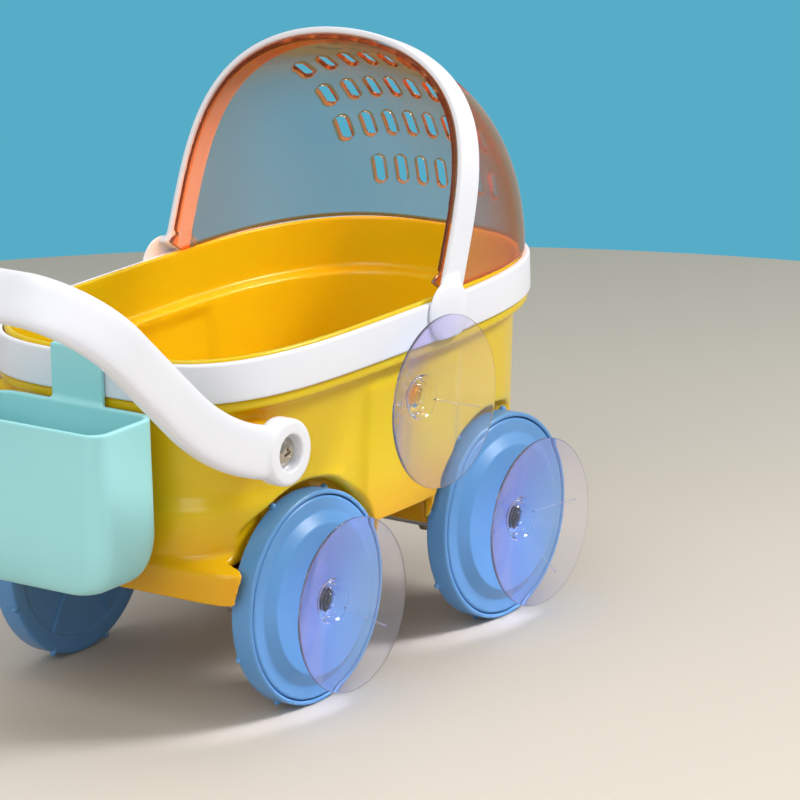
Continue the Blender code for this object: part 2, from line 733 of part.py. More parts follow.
def face_mesh():
    """The wheel's front plate, with a raised central disc and a round socket for a cup's neck."""
    r = WHEEL_RADIUS - 1.6
    f, d = WHEEL_FACE, DISC_FACE
    return turned_mesh([(SOCKET_RADIUS, d), (21.8, d), (25.2, f), (r - 0.4, f), (r, f - 0.4), (r, f - 2.2),
                        (24.4, f - 2.2), (21.4, d - 1.9), (SOCKET_RADIUS, d - 1.9)], 24)


def cup_mesh(seat, grip):
    """A suction cup on its mushroom neck; seat is the face it plugs into, grip the wall it passes."""
    r, rim = CUP_RADIUS, CUP_RIM
    back = [(6.2, seat + GAP), (6.6, seat + 1.5), (12.0, 53.6), (19.5, 56.5), (r, rim - 0.7)]
    front = [(r, rim), (r - 1.6, rim), (18.0, 57.2), (9.0, 54.3), (0, 52.9)]
    catch = seat - grip
    neck = [(0, catch - 1.5), (2.9, catch - 1.5), (4.5, catch), (NECK_RADIUS, catch), (NECK_RADIUS, seat + GAP)]
    return turned_mesh((neck + back + front)[::-1], 24)


def wheel_sites():
    for side, side_name in ((-1, "near"), (1, "far")):
        for end, end_name in ((-1, "handle"), (1, "hood")):
            yield side, end, f"{side_name}_{end_name}"


def make_wheels():
    for side, end, tag in wheel_sites():
        axis = add_empty(f"wheel_axis_{tag}", (end * WHEEL_BASE_HALF, 0, WHEEL_RADIUS), FRAME)
        tread = add_part(f"wheel_tread_{tag}", tread_mesh(), "blue", axis, (0, 0, 0), face_out(side))
        for k in range(NUB_COUNT):
            angle = math.radians(NUB_PHASE[tag]) + 2 * math.pi * k / NUB_COUNT
            reach = WHEEL_RADIUS - 0.3
            spot = (reach * math.cos(angle), side * (WHEEL_BACK + 0.9), reach * math.sin(angle))
            nub = add_cutter(f"nub_{tag}_{k}", nub_mesh(), axis, spot, (0, -angle, 0))
            boolean(tread, nub, "UNION")
        add_part(f"wheel_face_{tag}", face_mesh(), "blue", axis, (0, 0, 0), face_out(side))
        clip = turned_mesh([(AXLE_RADIUS + GAP, 44.9), (4.2, 44.9), (4.8, 43.6), (4.8, 42.9),
                            (AXLE_RADIUS + GAP, 42.9)], 12)
        add_part(f"axle_clip_{tag}", clip, "steel", FRAME, axis.location / MM, face_out(side))
        if side < 0:
            cup = "suction_cup_" + tag.split("_")[1] + "_wheel"
            add_part(cup, cup_mesh(DISC_FACE, 2.2), "clear", axis, (0, 0, 0), face_out(side))
        else:
            plug = turned_mesh([(0, DISC_FACE + 1.6), (3.6, DISC_FACE + 1.3), (5.2, DISC_FACE + GAP),
                                (NECK_RADIUS, DISC_FACE + GAP), (NECK_RADIUS, DISC_FACE - 2.2),
                                (3.9, DISC_FACE - 2.2), (3.0, DISC_FACE - 3.4), (0, DISC_FACE - 3.4)], 14)
            add_part(f"hub_plug_{tag}", plug, "blue", axis, (0, 0, 0), face_out(side))
    for end, name in ((-1, "axle_handle_end"), (1, "axle_hood_end")):
        axle = rod_mesh(AXLE_RADIUS, -AXLE_END, AXLE_END, 16)
        add_part(name, axle, "steel", FRAME, (end * WHEEL_BASE_HALF, 0, WHEEL_RADIUS), face_out(1))


# ---------------------------------------------------------------- chassis

def make_chassis():
    """The underside tray closes the tub's floor and carries the axles in two brackets."""
    edge = CHASSIS_EDGE
    outline = [(-HOUSING_X0, CHASSIS_TOP), (-HOUSING_X0 - 2, edge), (CHASSIS_X0, edge), (CHASSIS_X0, 40),
               (CHASSIS_X0 + 6.5, CHASSIS_BOTTOM), (-HOUSING_X0, CHASSIS_BOTTOM),
               (-HOUSING_X0 + 3, CHASSIS_MID), (HOUSING_X0 - 3, CHASSIS_MID), (HOUSING_X0, CHASSIS_BOTTOM),
               (CHASSIS_X1 - 4, CHASSIS_BOTTOM), (CHASSIS_X1, 40), (CHASSIS_X1, edge), (HOUSING_X0 + 2, edge),
               (HOUSING_X0, CHASSIS_TOP)]
    rings = [[(x, y, z) for x, z in outline] for y in (-CHASSIS_HALF, CHASSIS_HALF)]
    tray = add_part("chassis_tray", loft(rings), "yellow", FRAME)
    bevel(tray, 1.0, 1)
    for end, name in ((-1, "handle"), (1, "hood")):
        x = end * WHEEL_BASE_HALF
        hollow = box_mesh((x - 22, -CHASSIS_HALF + 3, CHASSIS_BOTTOM + 3), (x + 20, CHASSIS_HALF - 3, 60))
        boolean(tray, add_cutter(f"tray_hollow_{name}", hollow, FRAME), "DIFFERENCE")
        low, high = BRACKET_BOTTOM, CHASSIS_BOTTOM - GAP
        bracket = box_mesh((x - 9, -34, low), (x + 9, 34, high))
        bracket = add_part(f"axle_bracket_{name}_end", bracket, "grey", FRAME)
        bore = rod_mesh(AXLE_RADIUS + GAP, -50, 50, 16)
        bore = add_cutter(f"bracket_bore_{name}", bore, FRAME, (x, 0, WHEEL_RADIUS), face_out(1))
        boolean(bracket, bore, "DIFFERENCE")
        for side in (-1, 1):
            spot = (x + 5.6 * side, side * 22, 0)
            hole = rod_mesh(1.6, low - 2, CHASSIS_BOTTOM + 5, 12)
            hole = add_cutter(f"bracket_hole_{name}_{side}", hole, FRAME, spot)
            boolean(bracket, hole, "DIFFERENCE")
            boolean(tray, hole, "DIFFERENCE")
            screw = turned_mesh([(0, CHASSIS_BOTTOM + 4), (1.3, CHASSIS_BOTTOM + 3), (1.3, low - GAP),
                                 (2.8, low - GAP), (2.4, low - 1.5), (0, low - 1.7)], 12)
            tag = "near" if side < 0 else "far"
            add_part(f"bracket_screw_{name}_{tag}", screw, "steel", FRAME, spot)


# ---------------------------------------------------------------- side cup and caddy

def make_side_cup():
    place = (CUP_X, 0, CUP_Z)
    add_part("suction_cup_side", cup_mesh(PANEL_FACE, 3.4), "clear", FRAME, place, face_out(-1))


def caddy_ring(z, inset):
    """Rounded-rectangle level of the caddy; it narrows towards its round bottom."""
    depth = (z - CADDY_BOTTOM) / 17.0
    narrow = 0.0 if depth >= 1 else 13.0 * (1 - math.sqrt(max(0.0, 1 - (1 - depth) ** 2)))
    half_y = CADDY_HALF - narrow - inset
    x0 = CADDY_X0 + narrow * 0.5 + inset
    x1 = CADDY_X1 - inset
    corner = 6.0 - inset * 0.8
    ring = []
    for cx, cy, start in ((x1 - corner, half_y - corner, 0), (x0 + corner, half_y - corner, 90),
                          (x0 + corner, -half_y + corner, 180), (x1 - corner, -half_y + corner, 270)):
        for k in range(5):
            angle = math.radians(start + 90 * k / 4)
            ring.append((cx + corner * math.cos(angle), cy + corner * math.sin(angle), z))
    return ring


def make_caddy():
    """An open pocket that hangs from the rim band by a hook."""
    levels = [CADDY_BOTTOM, CADDY_BOTTOM + 1.0, CADDY_BOTTOM + 4, CADDY_BOTTOM + 9, CADDY_BOTTOM + 17, CADDY_TOP]
    caddy = add_part("caddy", loft([caddy_ring(z, 0) for z in levels]), "mint", FRAME)
    inner = [CADDY_BOTTOM + CADDY_WALL] + levels[2:-1] + [CADDY_TOP + 2]
    hollow = add_cutter("caddy_hollow", loft([caddy_ring(z, CADDY_WALL) for z in inner]), FRAME)
    hook = hook_mesh()
    boolean(caddy, add_cutter("caddy_hook", hook, FRAME), "UNION")
    boolean(caddy, hollow, "DIFFERENCE")
    return caddy


def hook_mesh():
    """A strap that rises from the caddy's back wall, runs over the rim and turns down inside."""
    out = -TUB_LENGTH_HALF - BAND_OUT - GAP - 0.1
    inn = -TUB_LENGTH_HALF + RIM_WALL + GAP + 0.1
    top = RIM_TOP + GAP
    thick = 1.8
    outline = [(out - thick, 70), (out - thick, top + thick), (inn + thick, top + thick), (inn + thick, 96),
               (inn, 96), (inn, top), (out, top), (out, 70)]
    rings = [[(x, y, z) for x, z in outline] for y in (-9, 9)]
    return loft(rings)


# ---------------------------------------------------------------- build

clear_scene()
PARTS = new_collection("doll_stroller")
CUTTERS = new_collection("cutters")
PIVOT = (HOOD_X - PIVOT_DROP * math.sin(ARCH_LEAN), 0.0, HOOD_Z - PIVOT_DROP * math.cos(ARCH_LEAN))
FRAME = add_empty("stroller_frame", (-CENTRE_X, -CENTRE_Y, 0))

make_tub()
make_band()
make_chassis()
make_hood_pins()
make_hood()
make_handle_fixings()
make_handle()
make_wheels()
make_side_cup()
make_caddy()
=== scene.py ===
"""Looks of the doll stroller: smooth moulded surfaces, finishes, floor, light and camera."""
import json
import math

import bmesh
import bpy
import numpy as np
from mathutils import Euler, Matrix, Vector


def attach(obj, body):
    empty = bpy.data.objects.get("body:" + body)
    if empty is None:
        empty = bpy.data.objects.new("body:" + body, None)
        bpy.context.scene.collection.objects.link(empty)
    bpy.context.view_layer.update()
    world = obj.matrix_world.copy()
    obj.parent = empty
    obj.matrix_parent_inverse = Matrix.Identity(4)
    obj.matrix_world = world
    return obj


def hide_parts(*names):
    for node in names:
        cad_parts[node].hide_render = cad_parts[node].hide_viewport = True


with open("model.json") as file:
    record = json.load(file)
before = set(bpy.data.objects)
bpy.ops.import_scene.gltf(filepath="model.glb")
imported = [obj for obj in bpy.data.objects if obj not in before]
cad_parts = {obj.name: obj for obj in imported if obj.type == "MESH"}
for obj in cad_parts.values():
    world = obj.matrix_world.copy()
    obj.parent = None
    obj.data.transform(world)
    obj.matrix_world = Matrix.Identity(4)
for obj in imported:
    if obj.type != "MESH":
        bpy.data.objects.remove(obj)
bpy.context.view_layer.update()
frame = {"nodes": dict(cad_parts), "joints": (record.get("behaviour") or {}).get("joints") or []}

# Design units are millimetres, with the design centre midway between the wheels on the floor
MM = 0.001
JOINTS = {joint["name"]: Vector(joint["pos_m"]) for joint in frame["joints"]}
CENTRE = (JOINTS["wheel_near_handle"] + JOINTS["wheel_near_hood"]) / 2
CENTRE.z = 0.0
GAP = 0.3

# Tub
TUB_LENGTH_HALF = 86.8
TUB_POWER = 3.72
HOOD_END_LENGTH = 84.0
HOOD_END_POWER = 3.0
TUB_WIDTH_HALF = 49.6
RIM_WALL = 1.6
WALL = 2.0
RIM_TOP = 105.85
LIP_TOP = 93.4
LIP_BOTTOM = 90.7
LIP_OUT = 1.4
WALL_TOP = 89.2
WALL_IN = 2.4
DRAFT = 0.0957
HOOD_END_DRAFT = 0.045
FLOOR_TOP = 49.3
FLOOR_BOTTOM = 47.3
FLOOR_ROUNDING = 4.0
SKIRT_BOTTOM = 36.7
SKIRT_LENGTH_HALF = 82.5
SKIRT_WIDTH_HALF = 48.0
SKIRT_POWER = 12.0
HOOD_SKIRT_LENGTH = 79.4
HOOD_SKIRT_POWER = 6.0
BELLY_BOTTOM = 44.5
BELLY_HALF = 13.5
END_START = 27.0
BULGE_OUT = 2.2
BULGE_TOP = 66.5
PANEL_X0 = -23.5
PANEL_X1 = 26.8
PANEL_TOP = 88.5
PANEL_OUT = 1.3
PANEL_EDGE = 5.0

# Rim band
BAND_BOTTOM = 93.8
BAND_TOP = 105.25
BAND_OUT = 2.3
BAND_IN = 0.3
BAND_EDGE = 0.9

# Hood and arch
HOOD_X = 15.8
HOOD_Z = 105.7
ARCH_LEAN = math.radians(20.67)
ARCH_HALF = 51.2
ARCH_HEIGHT = 71.4
ARCH_SIDE_POWER = 0.96
ARCH_RISE_POWER = 0.505
ARCH_WIDTH = 9.4
ARCH_THICK = 2.0
ARCH_FOOT_LOW = -2.5
ARCH_FOOT_STEP = 1.5
ARCH_FOOT_TOP = 13.0
HOOD_WALL = 1.5
HOOD_TRIM = 105.9
HOOD_OPEN = math.radians(35.0)
FOOT_ANGLE = 0.006
FOOT_PAD = 6.6
HOOD_BASE_LENGTH = 68.0
HOOD_BASE_POWER = 0.672
VENT_ROWS = ((13.6, 3), (27.4, 4), (40.2, 4), (53.7, 4))   # angle above level, vents each side of centre
VENT_PITCH = 7.1
VENT_LENGTH = 8.8
VENT_WIDTH = 3.2
VENT_NEAR = 40.0
VENT_FAR = 85.0
HOOD_PIVOT = (JOINTS["hood_pivot"] - CENTRE) / MM
HOOD_PIVOT.y = 0.0
LUG_RADIUS = 9.3
LUG_SHIFT = -2.4
LUG_IN = 52.2
LUG_OUT = 54.0
PIN_RADIUS = 2.4

# Handle
HANDLE_PIVOT = (JOINTS["handle_pivot"] - CENTRE) / MM
HANDLE_PIVOT.y = 0.0
HANDLE_IN = 48.5
HANDLE_OUT = 54.5
HANDLE_WIDE = 15.0
BOSS_RADIUS = 9.5
BOSS_RAISE = 0.7
ARM_START_ANGLE = math.radians(14.0)
ARM_END_ANGLE = math.radians(43.5)
ARM_BEND = 80.0
ARM_STRAIGHT = 54.8
HANDLE_CORNER = 22.0
POST_RADIUS = 7.3
POST_ROOT = 30.0
SCREW_HEAD = 4.1
SCREW_RECESS = 5.2
RECESS_DEPTH = 2.3
SHANK_RADIUS = 1.9
BUSH_RADIUS = 3.0
DRIVER_TURN = 20.0

# Wheels
WHEEL_BASE_HALF = 46.0
WHEEL_RADIUS = 30.75
WHEEL_FACE = 46.74
WHEEL_BACK = 39.7
DISC_FACE = 49.2
ARCH_WELL = 33.2
WELL_BACK = 37.5
WELL_MOUTH = 42.0
WELL_FLARE = 2.2
WELL_FLARE_LENGTH = 5.5
AXLE_RADIUS = 2.0
AXLE_END = 44.4
HUB_RADIUS = 6.0
NUB_COUNT = 8
RIB_COUNT = 6
NUB_PHASE = {"near_handle": 21.5, "near_hood": 30.0, "far_handle": 20.0, "far_hood": 26.0}

# Suction cups
CUP_RADIUS = 25.0
CUP_RIM = 59.1
CUP_PLACE = (0.0, 0.0, 78.6)
PANEL_FACE = 48.0
SOCKET_RADIUS = 3.5
NECK_RADIUS = 3.1
CUP_HUB = 1.8
CUP_FILM = 0.8
BELL_START = 5.6
LINE_START = 6.2
LINE_LENGTH = 14.5
LINE_RADIUS = 0.2

# Underside
CHASSIS_BOTTOM = 33.1
BRACKET_BOTTOM = 26.0

# Hanging caddy
CADDY_HALF = 28.5
CADDY_X0 = -117.0
CADDY_X1 = -90.6
CADDY_TOP = 92.0
CADDY_BOTTOM = 43.5
CADDY_WALL = 1.8
CADDY_ROUND = 17.0
CADDY_NARROW = 13.0
CADDY_CORNER = 6.0
HOOK_HALF = 9.0
HOOK_LOW = 70.0
HOOK_END = 96.0

# Camera
CAMERA_TURN = math.radians(-53.407)
CAMERA_RISE = math.radians(15.643)
CAMERA_ROLL = math.radians(-1.534)
CAMERA_PLACE = (-1.0688, -0.8597, 0.4613)
CAMERA_LENS = 225.0
CAMERA_SENSOR = 36.0

# A Mix node's colour sockets, which share their names with its number and vector sockets
MIX_A, MIX_B, MIX_RESULT = 6, 7, 2

EDGE_MARK = "edge_depth"
PLAN_POINTS = 256
TURN_POINTS = 128


# ---------------------------------------------------------------- mesh helpers

def smooth(value):
    value = min(1.0, max(0.0, value))
    return value * value * (3.0 - 2.0 * value)


def signed_power(value, power):
    return math.copysign(abs(value) ** power, value)


def face_out(side):
    """Rotation that points a turned piece's Z outwards, on the -Y side or the +Y side."""
    return (math.radians(-90 * side), 0, 0)


def fillet(points, radius, closed=False, steps=5):
    """Round every corner of a 2-D outline; the ends of an open outline stay sharp."""
    rounded = []
    count = len(points)
    for i, point in enumerate(points):
        corner = Vector(point)
        if not closed and i in (0, count - 1):
            rounded.append(tuple(corner))
            continue
        back = Vector(points[i - 1]) - corner
        ahead = Vector(points[(i + 1) % count]) - corner
        half = back.angle(ahead) / 2
        reach = min(radius / math.tan(half), back.length * 0.48, ahead.length * 0.48)
        start, end = corner + back.normalized() * reach, corner + ahead.normalized() * reach
        for k in range(steps + 1):
            t = k / steps
            rounded.append(tuple(start * (1 - t) ** 2 + corner * 2 * t * (1 - t) + end * t ** 2))
    return rounded


def loft(rings, closed=False):
    """A skin through rings of points; the ends are capped unless the rings close on themselves."""
    bm = bmesh.new()
    rows = [[bm.verts.new(point) for point in ring] for ring in rings]
    count = len(rows[0])
    pairs = list(zip(rows, rows[1:]))
    if closed:
        pairs.append((rows[-1], rows[0]))
    for low, high in pairs:
        for i in range(count):
            j = (i + 1) % count
            bm.faces.new((low[i], low[j], high[j], high[i]))
    if not closed:
        bm.faces.new(rows[0])
        bm.faces.new(rows[-1])
    return bm


def turned(profile):
    """A solid of revolution about Z; points on the axis close it, otherwise it is a ring."""
    bm = bmesh.new()
    on_axis = profile[0][0] == 0 and profile[-1][0] == 0
    outline = profile[1:-1] if on_axis else profile
    rows = []
    for i in range(TURN_POINTS):
        angle = 2 * math.pi * i / TURN_POINTS
        rows.append([bm.verts.new((r * math.cos(angle), r * math.sin(angle), h)) for r, h in outline])
    ends = [bm.verts.new((0, 0, profile[k][1])) for k in (0, -1)] if on_axis else []
    for i in range(TURN_POINTS):
        here, there = rows[i], rows[(i + 1) % TURN_POINTS]
        last = len(outline) - 1 if on_axis else len(outline)
        for k in range(last):
            m = (k + 1) % len(outline)
            bm.faces.new((here[k], here[m], there[m], there[k]))
        if on_axis:
            bm.faces.new((ends[0], here[0], there[0]))
            bm.faces.new((here[-1], ends[1], there[-1]))
    return bm


def rod(radius, start, end):
    return turned([(0, start), (radius, start), (radius, end), (0, end)])


def box(low, high):
    bm = bmesh.new()
    size = Vector(high) - Vector(low)
    centre = (Vector(high) + Vector(low)) / 2
    bmesh.ops.create_cube(bm, size=1.0, matrix=Matrix.Translation(centre) @ Matrix.Diagonal((*size, 1.0)))
    return bm


def solid(bm, place=(0, 0, 0), turn=(0, 0, 0)):
    """An object in world metres from a bmesh in design millimetres."""
    matrix = (Matrix.Translation(CENTRE) @ Matrix.Scale(MM, 4) @ Matrix.Translation(place)
              @ Euler(turn).to_matrix().to_4x4())
    bmesh.ops.transform(bm, matrix=matrix, verts=bm.verts)
    bmesh.ops.recalc_face_normals(bm, faces=bm.faces)
    mesh = bpy.data.meshes.new("shape")
    bm.to_mesh(mesh)
    bm.free()
    obj = bpy.data.objects.new("shape", mesh)
    bpy.context.scene.collection.objects.link(obj)
    return obj


def settle(obj):
    """Turn the object's modifiers into its own mesh."""
    graph = bpy.context.evaluated_depsgraph_get()
    mesh = bpy.data.meshes.new_from_object(obj.evaluated_get(graph))
    obj.modifiers.clear()
    obj.data = mesh
    return obj


def cut(obj, *cutters):
    """Take closed shapes away from an object."""
    for cutter in cutters:
        modifier = obj.modifiers.new("cut", "BOOLEAN")
        modifier.operation = "DIFFERENCE"
        modifier.object = cutter
        modifier.solver = "MANIFOLD"
    settle(obj)
    for cutter in cutters:
        bpy.data.objects.remove(cutter)
    return obj


def join(obj, *others):
    """Gather shapes into one mesh, with no change to their surfaces."""
    bm = bmesh.new()
    for part in (obj, *others):
        bm.from_mesh(part.data)
    bm.to_mesh(obj.data)
    bm.free()
    for other in others:
        bpy.data.objects.remove(other)
    return obj


def melt(obj, voxel, passes=3):
    """Fuse a mesh into one skin whose edges are softly rounded, as moulded plastic has them."""
    skin = obj.modifiers.new("skin", "REMESH")
    skin.mode = "VOXEL"
    skin.voxel_size = voxel * MM
    if passes:
        ease = obj.modifiers.new("ease", "SMOOTH")
        ease.factor = 0.5
        ease.iterations = passes
    return settle(obj)


def piece(obj, name, material, body, sharp=None):
    """A finished piece that stands for the CAD node of the same name."""
    obj.name = f"{name}_look"
    obj.data.name = obj.name
    obj.data.materials.clear()
    obj.data.materials.append(material)
    obj.data.shade_smooth()
    if sharp:
        obj.data.set_sharp_from_angle(angle=math.radians(sharp))
    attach(obj, body)
    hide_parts(name)


# ---------------------------------------------------------------- finishes

def link(tree, source, output, target, entry):
    tree.links.new(source.outputs[output], target.inputs[entry])


def new_node(tree, kind, **values):
    node = tree.nodes.new(kind)
    for key, value in values.items():
        node.inputs[key.replace("_", " ")].default_value = value
    return node


def finish(name, colours, roughness, grain=900.0, relief=0.00002, **shader_values):
    """A material whose gloss, and colour if it has two, drifts over the piece, with a fine moulded grain."""
    material = bpy.data.materials.new(name)
    material.use_nodes = True
    tree = material.node_tree
    shader = tree.nodes["Principled BSDF"]
    for key, value in shader_values.items():
        shader.inputs[key.replace("_", " ")].default_value = value
    place = tree.nodes.new("ShaderNodeTexCoord")
    drift = new_node(tree, "ShaderNodeTexNoise", Scale=22.0, Detail=4.0, Roughness=0.6)
    link(tree, place, "Object", drift, "Vector")
    if colours:
        tint = tree.nodes.new("ShaderNodeValToRGB")
        for element, place_on_ramp, colour in zip(tint.color_ramp.elements, (0.3, 0.7), colours):
            element.position = place_on_ramp
            element.color = (*colour, 1.0)
        link(tree, drift, "Fac", tint, "Fac")
        link(tree, tint, "Color", shader, "Base Color")
    fine = new_node(tree, "ShaderNodeTexNoise", Scale=grain, Detail=3.0, Roughness=0.5)
    link(tree, place, "Object", fine, "Vector")
    gloss = tree.nodes.new("ShaderNodeMapRange")
    gloss.inputs["To Min"].default_value = roughness[0]
    gloss.inputs["To Max"].default_value = roughness[1]
    link(tree, drift, "Fac", gloss, "Value")
    link(tree, gloss, "Result", shader, "Roughness")
    bump = new_node(tree, "ShaderNodeBump", Strength=0.35, Distance=relief)
    link(tree, fine, "Fac", bump, "Height")
    link(tree, bump, "Normal", shader, "Normal")
    return material


def paint_recess_shade(material, colour, reach, low, high):
    """Paint shade into an opaque moulding's colour: deeper orange where its own walls crowd round it and
    towards its foot, standing in for the shade there.
    """
    tree = material.node_tree
    shader = tree.nodes["Principled BSDF"]
    base = shader.inputs["Base Color"].links[0].from_socket
    # Painted shade in recesses, from how closely the piece's own walls crowd round each point.
    crowd = new_node(tree, "ShaderNodeAmbientOcclusion", Distance=reach)
    crowd.samples = 6
    crowd.only_local = True
    depth = tree.nodes.new("ShaderNodeMapRange")
    for name, value in (("From Min", 0.15), ("From Max", 0.80), ("To Min", 1.0), ("To Max", 0.0)):
        depth.inputs[name].default_value = value
    link(tree, crowd, "AO", depth, "Value")
    place = tree.nodes.new("ShaderNodeTexCoord")
    level = tree.nodes.new("ShaderNodeSeparateXYZ")
    link(tree, place, "Object", level, "Vector")
    # Painted shade towards the foot: below the height high the colour turns deeper, most of all at low.
    foot = tree.nodes.new("ShaderNodeMapRange")
    for name, value in (("From Min", low), ("From Max", high), ("To Min", 0.75), ("To Max", 0.0)):
        foot.inputs[name].default_value = value
    link(tree, level, "Z", foot, "Value")
    painted_shade = tree.nodes.new("ShaderNodeMath")
    painted_shade.operation = "MAXIMUM"
    link(tree, depth, "Result", painted_shade, 0)
    link(tree, foot, "Result", painted_shade, 1)
    mix = tree.nodes.new("ShaderNodeMix")
    mix.data_type = "RGBA"
    mix.inputs[MIX_B].default_value = (*colour, 1.0)
    link(tree, painted_shade, "Value", mix, "Factor")
    tree.links.new(base, mix.inputs[MIX_A])
    link(tree, mix, MIX_RESULT, shader, "Base Color")


def edge_tinted(material, centre, edge, blend, shade, marked=False):
    """Deepen a see-through material where it turns away, and let tinted light through to what it covers."""
    tree = material.node_tree
    shader = tree.nodes["Principled BSDF"]
    weight = new_node(tree, "ShaderNodeLayerWeight", Blend=blend)
    deep, deep_name = weight, "Facing"
    if marked:
        mark = tree.nodes.new("ShaderNodeAttribute")
        mark.attribute_name = EDGE_MARK
        deep, deep_name = tree.nodes.new("ShaderNodeMath"), "Value"
        deep.operation = "MAXIMUM"
        link(tree, weight, "Facing", deep, 0)
        link(tree, mark, "Fac", deep, 1)
    ramp = tree.nodes.new("ShaderNodeValToRGB")
    ramp.color_ramp.elements[0].color = (*centre, 1.0)
    ramp.color_ramp.elements[0].position = 0.2
    ramp.color_ramp.elements[1].color = (*edge, 1.0)
    ramp.color_ramp.elements[1].position = 0.6
    link(tree, deep, deep_name, ramp, "Fac")
    link(tree, ramp, "Color", shader, "Base Color")
    path = tree.nodes.new("ShaderNodeLightPath")
    clear = new_node(tree, "ShaderNodeBsdfTransparent", Color=(*shade, 1.0))
    mix = tree.nodes.new("ShaderNodeMixShader")
    link(tree, path, "Is Shadow Ray", mix, 0)
    link(tree, shader, "BSDF", mix, 1)
    link(tree, clear, "BSDF", mix, 2)
    link(tree, mix, "Shader", tree.nodes["Material Output"], "Surface")


YELLOW = finish("yellow_moulding", ((0.71, 0.50, 0.004), (0.74, 0.53, 0.006)), (0.18, 0.28),
                Specular_IOR_Level=0.42, Subsurface_Weight=0.25, Subsurface_Radius=(1.0, 0.30, 0.04),
                Subsurface_Scale=0.006)
# Painted shade: the yellow turns deep orange in the tub's recesses and towards its foot.
paint_recess_shade(YELLOW, (0.76, 0.33, 0.004), 0.035, 0.042, 0.062)
WHITE = finish("white_moulding", ((0.79, 0.80, 0.85), (0.82, 0.83, 0.87)), (0.26, 0.38))
BLUE = finish("blue_moulding", ((0.095, 0.275, 0.56), (0.12, 0.31, 0.61)), (0.26, 0.38))
MINT = finish("mint_moulding", ((0.34, 0.74, 0.76), (0.38, 0.78, 0.80)), (0.34, 0.46))
GREY = finish("grey_moulding", ((0.46, 0.47, 0.49), (0.54, 0.55, 0.57)), (0.40, 0.52))
ORANGE = finish("orange_clear", None, (0.05, 0.10), relief=0.000006,
                Transmission_Weight=0.95, IOR=1.28, Coat_Weight=0.1, Coat_Roughness=0.04)
edge_tinted(ORANGE, (0.90, 0.75, 0.75), (0.96, 0.24, 0.045), 0.42, (0.92, 0.72, 0.50), marked=True)
CLEAR = finish("clear_soft", None, (0.03, 0.07), relief=0.000005,
               Transmission_Weight=0.96, IOR=1.15, Coat_Weight=0.6, Coat_Roughness=0.04)
edge_tinted(CLEAR, (0.97, 0.95, 1.0), (0.66, 0.60, 1.0), 0.44, (0.96, 0.95, 1.0))
STEEL = finish("nickel_steel", ((0.42, 0.37, 0.31), (0.52, 0.48, 0.42)), (0.10, 0.22),
               grain=1600.0, Metallic=1.0)


# ---------------------------------------------------------------- tub

def plan_point(angle, length_half, width_half, power):
    c, s = math.cos(angle), math.sin(angle)
    reach = (abs(c) ** power + abs(s) ** power) ** (-1.0 / power)
    return length_half * c * reach, width_half * s * reach


def tub_plan(angle, grow):
    """The tub's outline moved out by a distance; the hood end is shorter and rounder."""
    if math.cos(angle) > 0:
        return plan_point(angle, HOOD_END_LENGTH + grow, TUB_WIDTH_HALF + grow, HOOD_END_POWER)
    return plan_point(angle, TUB_LENGTH_HALF + grow, TUB_WIDTH_HALF + grow, TUB_POWER)


def plan_angles():
    for i in range(PLAN_POINTS):
        yield 2 * math.pi * (i + 0.5) / PLAN_POINTS


def wall_offset(z):
    """How far the tub's outer face stands out from the rim wall at height z."""
    if z >= LIP_TOP:
        return 0.0
    if z >= LIP_BOTTOM:
        return LIP_OUT
    if z > WALL_TOP:
        return -WALL_IN + (LIP_OUT + WALL_IN) * ((z - WALL_TOP) / (LIP_BOTTOM - WALL_TOP)) ** 2
    return -WALL_IN - (WALL_TOP - z) * DRAFT


def panel_offset(x, z):
    across = smooth((x - PANEL_X0) / PANEL_EDGE) * smooth((PANEL_X1 - x) / PANEL_EDGE)
    return PANEL_OUT * across * smooth((PANEL_TOP - z) / PANEL_EDGE)


def end_offset(x, z):
    """The fender bulge at the handle end, and the steeper wall at the hood end."""
    if x < 0:
        return BULGE_OUT * smooth((BULGE_TOP - z) / 6) * smooth((-x - END_START) / 12)
    return max(0.0, WALL_TOP - z) * (DRAFT - HOOD_END_DRAFT) * smooth((x - END_START) / 30)


def skirt_point(angle, x, y, z, inset):
    """Below the step line the ends change to a wide, nearly square skirt."""
    share = smooth((FLOOR_BOTTOM + 1.0 - z) / 2.5) * smooth((abs(x) - 40) / 25)
    length, power = (HOOD_SKIRT_LENGTH, HOOD_SKIRT_POWER) if x > 0 else (SKIRT_LENGTH_HALF, SKIRT_POWER)
    wide_x, wide_y = plan_point(angle, length - inset, SKIRT_WIDTH_HALF - inset, power)
    return x + (wide_x - x) * share, y + (wide_y - y) * share


def tub_ring(z, inset=0.0, lip=True, roof=0.0):
    """One level of the tub's skin, moved in by the inset; roof keeps material over a hollow's steps."""
    offset = wall_offset(z) if lip else min(0.0, wall_offset(z))
    ring = []
    for angle in plan_angles():
        x, _ = tub_plan(angle, offset)
        x, y = tub_plan(angle, offset + end_offset(x, z) - inset)
        if abs(y) > 0.6 * TUB_WIDTH_HALF:
            y += math.copysign(panel_offset(x, z), y)
        ring.append((*skirt_point(angle, x, y, z + roof, inset), z))
    return ring


def heights(low, high, step):
    count = max(1, round((high - low) / step))
    return [low + (high - low) * k / count for k in range(count + 1)]


def inside_inset(z):
    """The wall's thickness, plus a rounded corner where the wall meets the floor."""
    wall = WALL if z < LIP_BOTTOM else RIM_WALL
    share = min(1.0, (z - FLOOR_TOP) / FLOOR_ROUNDING)
    return wall + FLOOR_ROUNDING * (1 - math.sqrt(1 - (1 - share) ** 2))


def wheel_well(side, end, radius, back):
    """A round well over a wheel, opening out a little at its mouth."""
    mouth, far = radius + WELL_FLARE, 75
    profile = [(0, back), (radius, back), (radius, WELL_MOUTH), (mouth, WELL_MOUTH + WELL_FLARE_LENGTH),
               (mouth, far), (0, far)]
    return solid(turned(profile), (end * WHEEL_BASE_HALF, 0, WHEEL_RADIUS), face_out(side))


